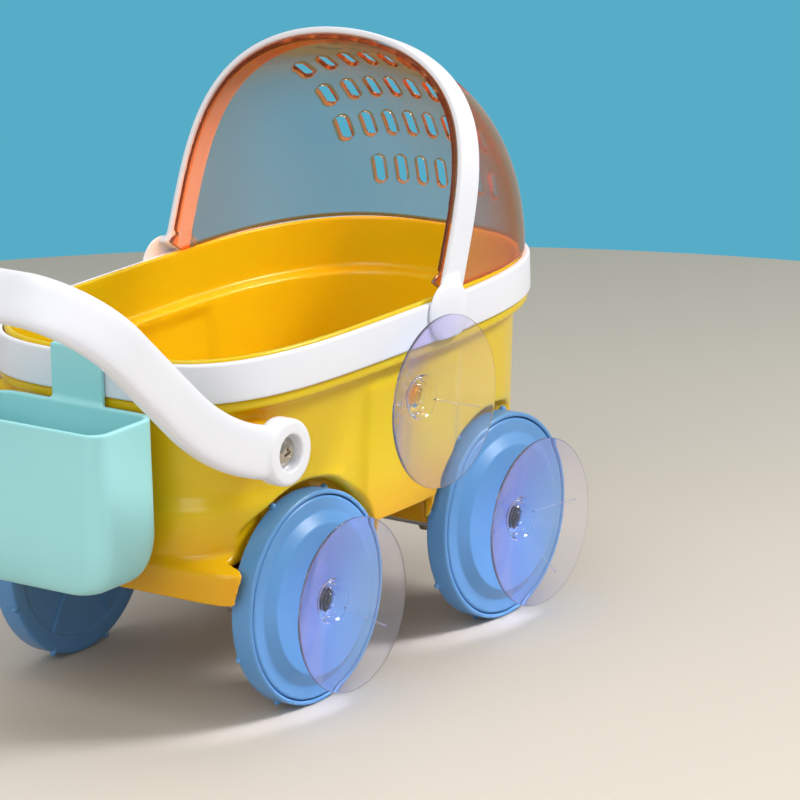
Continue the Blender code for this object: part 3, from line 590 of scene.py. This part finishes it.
def make_tub():
    levels = heights(SKIRT_BOTTOM, WALL_TOP, 0.9) + heights(WALL_TOP + 0.2, LIP_BOTTOM, 0.3)
    levels += [LIP_TOP - 0.01, LIP_TOP, RIM_TOP]
    tub = solid(loft([tub_ring(z) for z in levels]))
    rings = [tub_ring(z, inside_inset(z), lip=False) for z in heights(FLOOR_TOP, RIM_TOP + 2, 0.7)]
    inside = solid(loft(rings))
    rings = [tub_ring(z, WALL + 0.2, roof=WALL) for z in heights(SKIRT_BOTTOM - 3, FLOOR_BOTTOM, 0.7)]
    under = solid(loft(rings))
    belly = solid(box((-BELLY_HALF, -70, SKIRT_BOTTOM - 5), (BELLY_HALF, 70, BELLY_BOTTOM)))
    wells, well_skins, skirt_skins, posts, bores = [], [], [], [], []
    for side in (-1, 1):
        for end in (-1, 1):
            wells.append(wheel_well(side, end, ARCH_WELL, WELL_BACK))
            well_skins.append(wheel_well(side, end, ARCH_WELL + WALL, WELL_BACK - WALL))
            skirt_skins.append(wheel_well(side, end, ARCH_WELL + WALL, WELL_MOUTH - 1))
        posts.append(solid(rod(POST_RADIUS, POST_ROOT, HANDLE_IN - GAP), HANDLE_PIVOT, face_out(side)))
        bore = rod(SHANK_RADIUS + GAP, HANDLE_IN - 6.5, HANDLE_IN + 5)
        bores.append(solid(bore, HANDLE_PIVOT, face_out(side)))
    cut(inside, *well_skins)
    cut(under, *skirt_skins)
    cut(tub, *wells)
    melt(join(tub, *posts), 0.7, 0)
    socket = solid(rod(SOCKET_RADIUS, 40, 55), CUP_PLACE, face_out(-1))
    cut(tub, under, inside, belly, socket, *bores)
    melt(tub, 0.5, 4)
    piece(tub, "tub_shell", YELLOW, "tub")


def make_band():
    """The white ring that snaps over the tub's rim, with a hole at each side for the hood pin."""
    section = [(BAND_IN, BAND_BOTTOM), (BAND_OUT, BAND_BOTTOM), (BAND_OUT, BAND_TOP), (BAND_IN, BAND_TOP)]
    section = fillet(section, BAND_EDGE, closed=True)
    rings = [[(*tub_plan(angle, out), z) for angle in plan_angles()] for out, z in section]
    band = solid(loft(rings, closed=True))
    cut(band, solid(rod(PIN_RADIUS + GAP, -60, 60), HOOD_PIVOT, face_out(1)))
    piece(band, "rim_band", WHITE, "tub", sharp=50)


# ---------------------------------------------------------------- hood

def hood_point(share, angle, inset=0.0):
    """A point on the hood: share runs from the level base (0) to the arch plane (1)."""
    side_power = HOOD_BASE_POWER + (ARCH_SIDE_POWER - HOOD_BASE_POWER) * share
    rise_power = HOOD_BASE_POWER + (ARCH_RISE_POWER - HOOD_BASE_POWER) * share
    top = ARCH_HEIGHT - ARCH_THICK - GAP
    rise = HOOD_BASE_LENGTH + (top - HOOD_BASE_LENGTH) * share - inset
    half = ARCH_HALF - ARCH_THICK - GAP - inset
    y = half * signed_power(math.cos(angle), side_power)
    u = rise * signed_power(math.sin(angle), rise_power)
    tilt = share * (math.pi / 2 - ARCH_LEAN)
    shift = share * ARCH_WIDTH / 2
    return (HOOD_X + u * math.cos(tilt) + shift * math.cos(ARCH_LEAN), y,
            HOOD_Z + u * math.sin(tilt) - shift * math.sin(ARCH_LEAN))


def arch_point(v, angle, inset):
    """A point under the arch: v is the distance across its width, towards the hood's open side."""
    y = (ARCH_HALF - inset) * signed_power(math.cos(angle), ARCH_SIDE_POWER)
    u = (ARCH_HEIGHT - inset) * signed_power(math.sin(angle), ARCH_RISE_POWER)
    return (HOOD_X + u * math.sin(ARCH_LEAN) - v * math.cos(ARCH_LEAN), y,
            HOOD_Z + u * math.cos(ARCH_LEAN) + v * math.sin(ARCH_LEAN))


def foot_to_foot(steps):
    """Angles over the hood from one foot to the other, closer together towards the feet."""
    for k in range(steps + 1):
        share = 2 * k / steps - 1
        bow = 1 - (1 - abs(share)) ** 1.7
        yield math.pi / 2 + (math.pi / 2 - FOOT_ANGLE) * math.copysign(bow, share)


def hood_skin():
    """The hood's shell as one closed skin: outer face out to the front edge, then back inside."""
    shares = [i / 36 for i in range(37)]
    depth = ARCH_THICK + GAP
    rings = []
    for angle in foot_to_foot(120):
        outer = [hood_point(share, angle) for share in shares] + [arch_point(ARCH_WIDTH / 2, angle, depth)]
        inner = [hood_point(share, angle, HOOD_WALL) for share in shares]
        inner.append(arch_point(ARCH_WIDTH / 2, angle, depth + HOOD_WALL))
        rings.append(outer + inner[::-1])
    return loft(rings)


def vents():
    """All the vents as one cutter: upright slots in rows that fan out from the springing line."""
    straight = (VENT_LENGTH - VENT_WIDTH) / 2
    arc = 12
    ring = []
    for end in (1, -1):
        for k in range(arc + 1):
            angle = math.pi * k / arc + (0 if end > 0 else math.pi)
            ring.append((VENT_WIDTH / 2 * math.cos(angle), end * straight + VENT_WIDTH / 2 * math.sin(angle)))
    slots = []
    for degrees, reach in VENT_ROWS:
        for column in range(-reach, reach + 1):
            slot = loft([[(x, y, z) for y, z in ring] for x in (VENT_NEAR, VENT_FAR)])
            place = (HOOD_X, column * VENT_PITCH, HOOD_Z)
            slots.append(solid(slot, place, (0, -math.radians(degrees), 0)))
    return join(*slots)


def hood_trims():
    """The level under the hood, and the room its lower front corners leave when it is swung open."""
    reach = LUG_IN + 0.2
    below = solid(box((-30, -reach, 60), (110, reach, HOOD_TRIM)))
    room = box((-60, -reach, -40), (20, reach, HOOD_TRIM - HOOD_PIVOT.z))
    swing = solid(room, HOOD_PIVOT, (0, HOOD_OPEN, 0))
    return below, swing


def strip_ring(y, u, out):
    """The arch's section: a flat bar with rounded edges, at one place along the arch."""
    half_wide, half_thick = ARCH_WIDTH / 2, ARCH_THICK / 2
    corners = [(-half_wide, -half_thick), (half_wide, -half_thick), (half_wide, half_thick),
               (-half_wide, half_thick)]
    ring = []
    for v, w in fillet(corners, 0.6, closed=True, steps=3):
        py, pu = y + out[0] * w, u + out[1] * w
        ring.append((HOOD_X + pu * math.sin(ARCH_LEAN) - v * math.cos(ARCH_LEAN), py,
                     HOOD_Z + pu * math.cos(ARCH_LEAN) + v * math.sin(ARCH_LEAN)))
    return ring


def arch_strip():
    """The arch: a flat strip bent over the hood, straight down at each foot."""
    half = ARCH_HALF - ARCH_THICK / 2
    height = ARCH_HEIGHT - ARCH_THICK / 2
    foot = [(half, ARCH_FOOT_LOW + ARCH_FOOT_STEP * k, (1.0, 0.0)) for k in range(8)]
    bend = []
    steps = 140
    for k in range(1, steps):
        angle = math.pi * k / steps
        u = height * math.sin(angle) ** ARCH_RISE_POWER
        if u > ARCH_FOOT_TOP:
            bend.append((half * signed_power(math.cos(angle), ARCH_SIDE_POWER), u, None))
    stations = foot + bend + [(-y, u, (-1.0, 0.0)) for y, u, _ in foot[::-1]]
    rings = []
    for i, (y, u, out) in enumerate(stations):
        if out is None:
            ahead, behind = stations[i + 1], stations[i - 1]
            run = Vector((ahead[0] - behind[0], ahead[1] - behind[1])).normalized()
            out = (run[1], -run[0])
        rings.append(strip_ring(y, u, out))
    return loft(rings)


def foot_web(side):
    """A web that carries the arch's foot outwards, over the band, to its round lug."""
    rings = []
    for z, x0, x1, out in ((106.1, 8.2, 19.0, 53.4), (107.4, 8.7, 19.2, 53.0), (109.2, 10.6, 19.4, 52.2),
                           (112.0, 13.6, 20.0, 51.0)):
        rings.append([(x0, side * 50.0, z), (x1, side * 50.0, z), (x1 - 0.8, side * out, z),
                      (x0 + 0.8, side * out, z)])
    return loft(rings)


def mark_edges(hood):
    """Mark how near each point of the hood is to a vent's wall, its front edge or its level lower edge."""
    points = np.empty(len(hood.data.vertices) * 3)
    hood.data.vertices.foreach_get("co", points)
    points = (points.reshape(-1, 3) - np.array(CENTRE)) / MM
    x, y, z = points[:, 0] - HOOD_X, points[:, 1], points[:, 2] - HOOD_Z
    across = z * math.sin(ARCH_LEAN) - x * math.cos(ARCH_LEAN)
    near = np.clip(1.4 - np.abs(z + HOOD_Z - HOOD_TRIM), 0, 1)
    near = np.maximum(near, np.clip(1.4 - np.abs(across - ARCH_WIDTH / 2), 0, 1))
    for degrees, reach in VENT_ROWS:
        c, s = math.cos(math.radians(degrees)), math.sin(math.radians(degrees))
        along, across = x * c + z * s, z * c - x * s
        column = np.clip(np.round(y / VENT_PITCH), -reach, reach) * VENT_PITCH
        beyond = np.maximum(np.abs(across) - (VENT_LENGTH - VENT_WIDTH) / 2, 0)
        wall = np.abs(np.hypot(y - column, beyond) - VENT_WIDTH / 2)
        near = np.maximum(near, np.where(along > VENT_NEAR, 0.8 * np.clip(1.7 - wall / 0.30, 0, 1), 0))
    mark = hood.data.attributes.new(EDGE_MARK, "FLOAT", "POINT")
    mark.data.foreach_set("value", near)


def make_hood():
    outer = ARCH_HALF - ARCH_THICK - GAP
    pad_place = (HOOD_X - 0.5, 0, HOOD_Z - 1.0)
    pads = [solid(rod(FOOT_PAD, outer - HOOD_WALL - 0.6, outer - 0.15), pad_place, face_out(side))
            for side in (-1, 1)]
    hood = melt(join(solid(hood_skin()), *pads), 0.4, 0)
    cut(hood, *hood_trims(), vents())
    melt(hood, 0.34, 4)
    mark_edges(hood)
    piece(hood, "hood_shell", ORANGE, "hood")

    arch = melt(join(solid(arch_strip()), *[solid(foot_web(side)) for side in (-1, 1)]), 0.4, 0)
    cut(arch, *hood_trims())
    profile = [(0, LUG_OUT), (LUG_RADIUS * 0.5, LUG_OUT - 0.05), (LUG_RADIUS * 0.82, LUG_OUT - 0.5),
               (LUG_RADIUS, LUG_IN + 0.5), (LUG_RADIUS, LUG_IN), (0, LUG_IN)]
    lug_place = HOOD_PIVOT + Vector((LUG_SHIFT, 0, 0))
    lugs = [solid(turned(fillet(profile, 1.2)), lug_place, face_out(side)) for side in (-1, 1)]
    for lug in lugs:
        cut(lug, solid(box((-20, -70, 60), (60, 70, BAND_BOTTOM + 0.2))))
    melt(join(arch, *lugs), 0.36, 4)
    cut(arch, *[solid(rod(PIN_RADIUS + GAP, LUG_IN - 5, LUG_IN + 1.1), HOOD_PIVOT, face_out(side))
                for side in (-1, 1)])
    piece(arch, "hood_arch", WHITE, "hood")


# ---------------------------------------------------------------- handle

def arm_path():
    """The handle's centre line in its side view, from the pivot to the start of the top corner."""
    points = [(0.0, 0.0), (-3.0, 0.5), (-6.0, 1.2)]
    x, z = points[-1]
    steps = 24
    span = ARM_END_ANGLE - ARM_START_ANGLE
    for k in range(steps):
        angle = ARM_START_ANGLE + span * (k + 0.5) / steps
        x -= ARM_BEND * span / steps * math.cos(angle)
        z += ARM_BEND * span / steps * math.sin(angle)
        points.append((x, z))
    return points


def handle_stations():
    """Centre, run and outward direction of the bar from one boss to the middle of the crossbar."""
    mid = (HANDLE_IN + HANDLE_OUT) / 2
    along = Vector((-math.cos(ARM_END_ANGLE), 0, math.sin(ARM_END_ANGLE)))
    out = Vector((0, -1, 0))
    path = arm_path()
    for i, (x, z) in enumerate(path):
        ahead = path[min(i + 1, len(path) - 1)]
        behind = path[max(i - 1, 0)]
        run = Vector((ahead[0] - behind[0], 0, ahead[1] - behind[1])).normalized()
        yield Vector((x, -mid, z)), run, out
    top = Vector((path[-1][0], -mid, path[-1][1])) + along * (ARM_STRAIGHT - HANDLE_CORNER)
    steps = 20
    for k in range(steps + 1):
        angle = math.pi / 2 * k / steps
        place = top + along * HANDLE_CORNER * math.sin(angle)
        place.y += HANDLE_CORNER * (1 - math.cos(angle))
        yield (place, along * math.cos(angle) - out * math.sin(angle),
               along * math.sin(angle) + out * math.cos(angle))


def bar_ring(place, run, out):
    """A softly rounded flat bar section."""
    wide = out.cross(run).normalized()
    ring = []
    points = 40
    for i in range(points):
        angle = 2 * math.pi * (i + 0.5) / points
        a = signed_power(math.cos(angle), 0.5) * HANDLE_WIDE / 2
        b = signed_power(math.sin(angle), 0.5) * (HANDLE_OUT - HANDLE_IN) / 2
        ring.append(place + wide * a + out * b)
    return ring


def make_handle():
    rings = [bar_ring(*station) for station in handle_stations()]
    mirrored = [[Vector((p.x, -p.y, p.z)) for p in ring] for ring in rings[::-1]]
    bar = solid(loft(rings + mirrored), HANDLE_PIVOT)
    boss_face = HANDLE_OUT + BOSS_RAISE
    boss_outline = [(0, boss_face), (BOSS_RADIUS, boss_face), (BOSS_RADIUS, HANDLE_IN), (0, HANDLE_IN)]
    seat = HANDLE_OUT - RECESS_DEPTH
    bore_outline = [(0, HANDLE_OUT + 3), (SCREW_RECESS, HANDLE_OUT + 3), (SCREW_RECESS, seat),
                    (BUSH_RADIUS + GAP, seat), (BUSH_RADIUS + GAP, HANDLE_IN - 3), (0, HANDLE_IN - 3)]
    bosses = [solid(turned(fillet(boss_outline, 1.3)), HANDLE_PIVOT, face_out(side)) for side in (-1, 1)]
    melt(join(bar, *bosses), 0.5, 2)
    cut(bar, *[solid(turned(bore_outline), HANDLE_PIVOT, face_out(side)) for side in (-1, 1)])
    melt(bar, 0.42, 3)
    piece(bar, "push_handle", WHITE, "handle")


def cross_recess(depth, reach, width):
    """A cross-head driver recess that narrows with depth, pointing along Z from its floor."""
    blades = []
    for turn in (DRIVER_TURN, DRIVER_TURN + 90):
        rings = []
        for z, share in ((-depth, 0.35), (0.6, 1.0)):
            half_long, half_wide = reach * share, width * (0.6 + 0.4 * share)
            rings.append([(-half_long, -half_wide, z), (half_long, -half_wide, z), (half_long, half_wide, z),
                          (-half_long, half_wide, z)])
        blade = loft(rings)
        bmesh.ops.rotate(blade, cent=(0, 0, 0), matrix=Matrix.Rotation(math.radians(turn), 3, "Z"),
                         verts=blade.verts)
        blades.append(blade)
    return blades


def make_handle_fixings():
    """A bush and a headed screw hold each end of the handle to the tub's post."""
    seat = HANDLE_OUT - RECESS_DEPTH
    for side, tag in ((-1, "near"), (1, "far")):
        bush = fillet([(SHANK_RADIUS + GAP, seat - GAP), (BUSH_RADIUS, seat - GAP), (BUSH_RADIUS, HANDLE_IN),
                       (SHANK_RADIUS + GAP, HANDLE_IN)], 0.2, closed=True)
        bush = solid(turned(bush), HANDLE_PIVOT, face_out(side))
        piece(bush, f"handle_bush_{tag}", GREY, "tub")
        head = seat + GAP
        outline = [(0, head + 1.7), (SCREW_HEAD * 0.55, head + 1.45), (SCREW_HEAD, head + 0.5),
                   (SCREW_HEAD, head), (SHANK_RADIUS, head), (SHANK_RADIUS, HANDLE_IN - 5.6),
                   (0, HANDLE_IN - 6.2)]
        screw = solid(turned(fillet(outline, 0.5)), HANDLE_PIVOT, face_out(side))
        tip = HANDLE_PIVOT + Vector((0, side * (head + 1.7), 0))
        cut(screw, *[solid(blade, tip, face_out(side)) for blade in cross_recess(1.3, 2.5, 0.42)])
        piece(screw, f"handle_screw_{tag}", STEEL, "tub", sharp=35)


# ---------------------------------------------------------------- wheels

def tread_outline():
    """The wheel's dished back half: rim, web and hub tube, with a shallow ring groove behind."""
    r, back, front = WHEEL_RADIUS, WHEEL_BACK, WHEEL_FACE
    bore = AXLE_RADIUS + GAP
    return [(r - 1.3, front), (r, front - 0.2), (r, back + 0.2), (r - 1.6, back), (r - 5.0, back),
            (r - 5.6, back + 0.7), (HUB_RADIUS + 3.6, back + 0.7), (HUB_RADIUS + 3.0, back),
            (HUB_RADIUS, back), (HUB_RADIUS, back - 1.4), (bore, back - 1.4), (bore, back + 2.8),
            (HUB_RADIUS, back + 2.0), (r - 2.6, back + 2.0), (r - 1.3, front - 2.6)]


def face_outline():
    """The wheel's front plate, with a raised central disc and a round socket for a cup's neck."""
    r = WHEEL_RADIUS - 1.6
    f, d = WHEEL_FACE, DISC_FACE
    return [(SOCKET_RADIUS, d), (21.7, d), (25.0, f), (r, f), (r, f - 2.2), (24.0, f - 2.2), (21.2, d - 1.9),
            (SOCKET_RADIUS, d - 1.9)]


def nub():
    bm = bmesh.new()
    bmesh.ops.create_icosphere(bm, subdivisions=3, radius=1.1)
    bmesh.ops.scale(bm, vec=(1.3, 1.0, 1.0), verts=bm.verts)
    return bm


def bell_share(radius):
    """How far a radius is along a cup's bell, from its hub (0) to its rim (1)."""
    return (radius - BELL_START) / (CUP_RADIUS - BELL_START)


def film_thickness(radius):
    return CUP_FILM * (1 - 0.5 * bell_share(radius))


def bell_height(seat, radius):
    """Height of a cup's inner skin: nearly a cone from its hub, flaring a little to the rim."""
    hub, share = seat + CUP_HUB, bell_share(radius)
    climb = CUP_RIM - 0.5 * CUP_FILM - hub
    return hub + film_thickness(radius) + climb * (0.8 * share + 0.2 * share ** 2)


def cup_outline(seat, grip):
    """A suction cup on its mushroom neck; seat is the face it plugs into, grip the wall it passes."""
    catch, hub = seat - grip, seat + CUP_HUB
    neck = [(0, catch - 1.5), (2.9, catch - 1.5), (4.5, catch), (NECK_RADIUS, catch),
            (NECK_RADIUS, seat + GAP)]
    radii = [6.6 + (CUP_RADIUS - 6.6) * k / 9 for k in range(10)]
    back = [(4.8, seat + GAP), (5.1, hub - 0.5)]
    back += [(q, bell_height(seat, q) - film_thickness(q)) for q in radii]
    front = [(q, bell_height(seat, q)) for q in radii[::-1]]
    rings = [(6.3, hub + 1.9), (BELL_START, hub + 1.1), (4.4, hub + 0.8), (3.9, hub + 1.4), (3.4, hub + 0.7),
             (2.3, hub + 0.5), (1.9, hub + 1.0), (1.4, hub + 0.4), (0, hub + 0.3)]
    return fillet((neck + back + front + rings)[::-1], 0.25, steps=3)


def mould_line(seat, degrees):
    """A fine raised line from a cup's hub towards its rim."""
    turn = Matrix.Rotation(math.radians(degrees), 3, "Z")
    rings = []
    for k in range(13):
        radius = LINE_START + LINE_LENGTH * k / 12
        middle = Vector((radius, 0, bell_height(seat, radius)))
        rings.append([turn @ (middle + Vector((0, LINE_RADIUS * math.cos(a), LINE_RADIUS * math.sin(a))))
                      for a in (2 * math.pi * i / 8 for i in range(8))])
    return loft(rings)


def make_cup(name, seat, grip, place, body, lines):
    cup = solid(turned(cup_outline(seat, grip)), place, face_out(-1))
    join(cup, *[solid(mould_line(seat, degrees), place, face_out(-1)) for degrees in lines])
    piece(cup, name, CLEAR, body)


def make_wheel(side, end, tag):
    body = f"wheel_{tag}"
    axis = Vector((end * WHEEL_BASE_HALF, 0, WHEEL_RADIUS))
    tread = solid(turned(fillet(tread_outline(), 1.2, closed=True)), axis, face_out(side))
    nubs = []
    for k in range(NUB_COUNT):
        angle = math.radians(NUB_PHASE[tag]) + 2 * math.pi * k / NUB_COUNT
        reach = WHEEL_RADIUS - 0.3
        spot = axis + Vector((reach * math.cos(angle), side * (WHEEL_BACK + 0.9), reach * math.sin(angle)))
        nubs.append(solid(nub(), spot, (0, -angle, 0)))
    ribs = []
    for k in range(RIB_COUNT):
        rib = box((HUB_RADIUS + 2.5, -0.7, WHEEL_BACK + 0.15), (WHEEL_RADIUS - 5.0, 0.7, WHEEL_BACK + 1.2))
        bmesh.ops.rotate(rib, cent=(0, 0, 0), matrix=Matrix.Rotation(2 * math.pi * k / RIB_COUNT, 3, "Z"),
                         verts=rib.verts)
        ribs.append(solid(rib, axis, face_out(side)))
    join(tread, *nubs, *ribs)
    piece(tread, f"wheel_tread_{tag}", BLUE, body, sharp=40)
    face = solid(turned(fillet(face_outline(), 1.5, closed=True)), axis, face_out(side))
    piece(face, f"wheel_face_{tag}", BLUE, body)
    bore = AXLE_RADIUS + GAP
    clip = fillet([(bore, 44.9), (4.2, 44.9), (4.8, 43.6), (4.8, 42.9), (bore, 42.9)], 0.3, closed=True)
    piece(solid(turned(clip), axis, face_out(side)), f"axle_clip_{tag}", STEEL, "tub")
    if side < 0:
        cup = f"suction_cup_{tag.split('_')[1]}_wheel"
        make_cup(cup, DISC_FACE, 2.2, axis, body, (-33,) if end < 0 else (4, -62))
    else:
        plug = fillet([(0, DISC_FACE + 1.6), (3.6, DISC_FACE + 1.3), (5.2, DISC_FACE + GAP),
                       (NECK_RADIUS, DISC_FACE + GAP), (NECK_RADIUS, DISC_FACE - 2.2), (3.9, DISC_FACE - 2.2),
                       (3.0, DISC_FACE - 3.4), (0, DISC_FACE - 3.4)], 0.4)
        piece(solid(turned(plug), axis, face_out(side)), f"hub_plug_{tag}", BLUE, body)


def make_wheels():
    for side, side_name in ((-1, "near"), (1, "far")):
        for end, end_name in ((-1, "handle"), (1, "hood")):
            make_wheel(side, end, f"{side_name}_{end_name}")
    for end, name in ((-1, "axle_handle_end"), (1, "axle_hood_end")):
        outline = [(0, -AXLE_END), (AXLE_RADIUS, -AXLE_END), (AXLE_RADIUS, AXLE_END), (0, AXLE_END)]
        axle = solid(turned(fillet(outline, 0.5)), (end * WHEEL_BASE_HALF, 0, WHEEL_RADIUS), face_out(1))
        piece(axle, name, STEEL, "tub")


# ---------------------------------------------------------------- underside, cup, pins and caddy

def soften(name, voxel, finish_used):
    """Round the edges of a blocky CAD node on a copy of its mesh."""
    copy = bpy.data.objects.new(name, frame["nodes"][name].data.copy())
    bpy.context.scene.collection.objects.link(copy)
    piece(melt(copy, voxel, 3), name, finish_used, "tub")


def make_underside():
    soften("chassis_tray", 0.6, YELLOW)
    for end, name in ((-1, "handle"), (1, "hood")):
        soften(f"axle_bracket_{name}_end", 0.4, GREY)
        for side, tag in ((-1, "near"), (1, "far")):
            low = BRACKET_BOTTOM
            outline = fillet([(0, CHASSIS_BOTTOM + 4), (1.3, CHASSIS_BOTTOM + 3), (1.3, low - GAP),
                              (2.8, low - GAP), (2.4, low - 1.5), (0, low - 1.7)], 0.3)
            spot = Vector((end * WHEEL_BASE_HALF + 5.6 * side, side * 22, 0))
            screw = solid(turned(outline), spot)
            tip = spot + Vector((0, 0, low - 1.7))
            cut(screw, *[solid(blade, tip, (math.pi, 0, 0)) for blade in cross_recess(1.0, 1.6, 0.3)])
            piece(screw, f"bracket_screw_{name}_{tag}", STEEL, "tub", sharp=35)


def make_side_cup():
    make_cup("suction_cup_side", PANEL_FACE, 3.4, CUP_PLACE, "tub", (-19,))


def make_hood_pins():
    for side, name in ((-1, "hood_pin_near"), (1, "hood_pin_far")):
        outline = fillet([(0, LUG_IN + 0.8), (PIN_RADIUS, LUG_IN + 0.8), (PIN_RADIUS, TUB_WIDTH_HALF + GAP),
                          (0, TUB_WIDTH_HALF + GAP)], 0.3)
        piece(solid(turned(outline), HOOD_PIVOT, face_out(side)), name, GREY, "tub")


def caddy_ring(z, inset):
    """Rounded-rectangle level of the caddy; it narrows towards its round bottom."""
    depth = (z - CADDY_BOTTOM) / CADDY_ROUND
    narrow = 0.0 if depth >= 1 else CADDY_NARROW * (1 - math.sqrt(max(0.0, 1 - (1 - depth) ** 2)))
    half_y = CADDY_HALF - narrow - inset
    x0 = CADDY_X0 + narrow * 0.5 + inset
    x1 = CADDY_X1 - inset
    corner = CADDY_CORNER - inset * 0.8
    ring = []
    for cx, cy, start in ((x1 - corner, half_y - corner, 0), (x0 + corner, half_y - corner, 90),
                          (x0 + corner, -half_y + corner, 180), (x1 - corner, -half_y + corner, 270)):
        for k in range(13):
            angle = math.radians(start + 90 * k / 12)
            ring.append((cx + corner * math.cos(angle), cy + corner * math.sin(angle), z))
    return ring


def make_caddy():
    """An open pocket that hangs from the rim band by a hook."""
    out = -TUB_LENGTH_HALF - BAND_OUT - GAP - 0.1
    inn = -TUB_LENGTH_HALF + RIM_WALL + GAP + 0.1
    top = RIM_TOP + GAP
    thick = CADDY_WALL
    outline = [(out - thick, HOOK_LOW), (out - thick, top + thick), (inn + thick, top + thick),
               (inn + thick, HOOK_END), (inn, HOOK_END), (inn, top), (out, top), (out, HOOK_LOW)]
    hook = solid(loft([[(x, y, z) for x, z in outline] for y in (-HOOK_HALF, HOOK_HALF)]))
    body = solid(loft([caddy_ring(z, 0) for z in heights(CADDY_BOTTOM, CADDY_TOP, 0.8)]))
    caddy = melt(join(body, hook), 0.45, 0)
    hollow = [caddy_ring(z, CADDY_WALL) for z in heights(CADDY_BOTTOM + CADDY_WALL, CADDY_TOP + 2, 0.8)]
    cut(caddy, solid(loft(hollow)))
    piece(melt(caddy, 0.45, 3), "caddy", MINT, "tub")


# ---------------------------------------------------------------- floor, light and camera

def make_floor():
    """A pale paper floor with painted shade that darkens and greys it towards its far edge, where the lamps'
    light falls off.
    """
    bpy.ops.mesh.primitive_circle_add(vertices=256, radius=0.5, fill_type="NGON")
    floor = bpy.context.object
    floor.name = "floor"
    paper = finish("floor_paper", None, (0.75, 0.85), grain=300.0)
    tree = paper.node_tree
    place = tree.nodes.new("ShaderNodeTexCoord")
    depth = tree.nodes.new("ShaderNodeVectorMath")
    depth.operation = "DOT_PRODUCT"
    depth.inputs[1].default_value = (0.803, 0.596, 0.0)
    link(tree, place, "Object", depth, 0)
    painted_far_shade = new_node(tree, "ShaderNodeMapRange")
    painted_far_shade.inputs["From Min"].default_value = -0.15
    painted_far_shade.inputs["From Max"].default_value = 0.5
    link(tree, depth, "Value", painted_far_shade, "Value")
    # Painted shade: the floor's colour falls to about half from its near side to its far side.
    ramp = tree.nodes.new("ShaderNodeValToRGB")
    ramp.color_ramp.elements[0].color = (0.64, 0.575, 0.50, 1.0)
    ramp.color_ramp.elements[1].color = (0.32, 0.325, 0.285, 1.0)
    link(tree, painted_far_shade, "Result", ramp, "Fac")
    link(tree, ramp, "Color", tree.nodes["Principled BSDF"], "Base Color")
    floor.data.materials.append(paper)


def add_light(name, place, target, size, power):
    light = bpy.data.lights.new(name, "AREA")
    light.shape = "SQUARE"
    light.size = size
    light.energy = power
    lamp = bpy.data.objects.new(name, light)
    lamp.location = place
    lamp.rotation_euler = (Vector(target) - Vector(place)).to_track_quat("-Z", "Y").to_euler()
    bpy.context.scene.collection.objects.link(lamp)


def make_lights():
    middle = (0.0, 0.0, 0.08)
    add_light("key", (0.66, -0.72, 0.88), middle, 0.32, 11.5)
    add_light("fill", (-1.0, -0.35, 0.70), middle, 0.9, 5.7)
    add_light("top", (-0.1, 0.1, 1.2), middle, 0.8, 3.6)


def make_backdrop():
    """Teal backdrop as the eye and the see-through hood meet it; plain white for the light it gives."""
    world = bpy.data.worlds.new("studio")
    world.use_nodes = True
    bpy.context.scene.world = world
    tree = world.node_tree
    seen = tree.nodes["Background"]
    seen.inputs["Color"].default_value = (0.095, 0.415, 0.57, 1.0)
    seen.inputs["Strength"].default_value = 1.0
    given = new_node(tree, "ShaderNodeBackground", Color=(1.0, 1.0, 1.0, 1.0), Strength=0.46)
    path = tree.nodes.new("ShaderNodeLightPath")
    either = tree.nodes.new("ShaderNodeMath")
    either.operation = "MAXIMUM"
    link(tree, path, "Is Camera Ray", either, 0)
    link(tree, path, "Is Transmission Ray", either, 1)
    mix = tree.nodes.new("ShaderNodeMixShader")
    link(tree, either, "Value", mix, 0)
    link(tree, given, "Background", mix, 1)
    link(tree, seen, "Background", mix, 2)
    link(tree, mix, "Shader", tree.nodes["World Output"], "Surface")


def make_camera():
    turn, rise, roll = CAMERA_TURN, CAMERA_RISE, CAMERA_ROLL
    back = Vector((math.sin(turn) * math.cos(rise), -math.cos(turn) * math.cos(rise), math.sin(rise)))
    level = Vector((math.cos(turn), math.sin(turn), 0.0))
    upright = back.cross(level)
    right = level * math.cos(roll) + upright * math.sin(roll)
    up = upright * math.cos(roll) - level * math.sin(roll)
    data = bpy.data.cameras.new("camera")
    data.sensor_width = CAMERA_SENSOR
    data.lens = CAMERA_LENS
    camera = bpy.data.objects.new("camera", data)
    matrix = Matrix((right, up, back)).transposed().to_4x4()
    matrix.translation = CAMERA_PLACE
    camera.matrix_world = matrix
    bpy.context.scene.collection.objects.link(camera)
    bpy.context.scene.camera = camera


make_tub()
make_band()
make_hood()
make_handle()
make_handle_fixings()
make_wheels()
make_underside()
make_side_cup()
make_hood_pins()
make_caddy()
make_floor()
make_lights()
make_backdrop()
make_camera()
bpy.context.scene.view_settings.view_transform = "Standard"
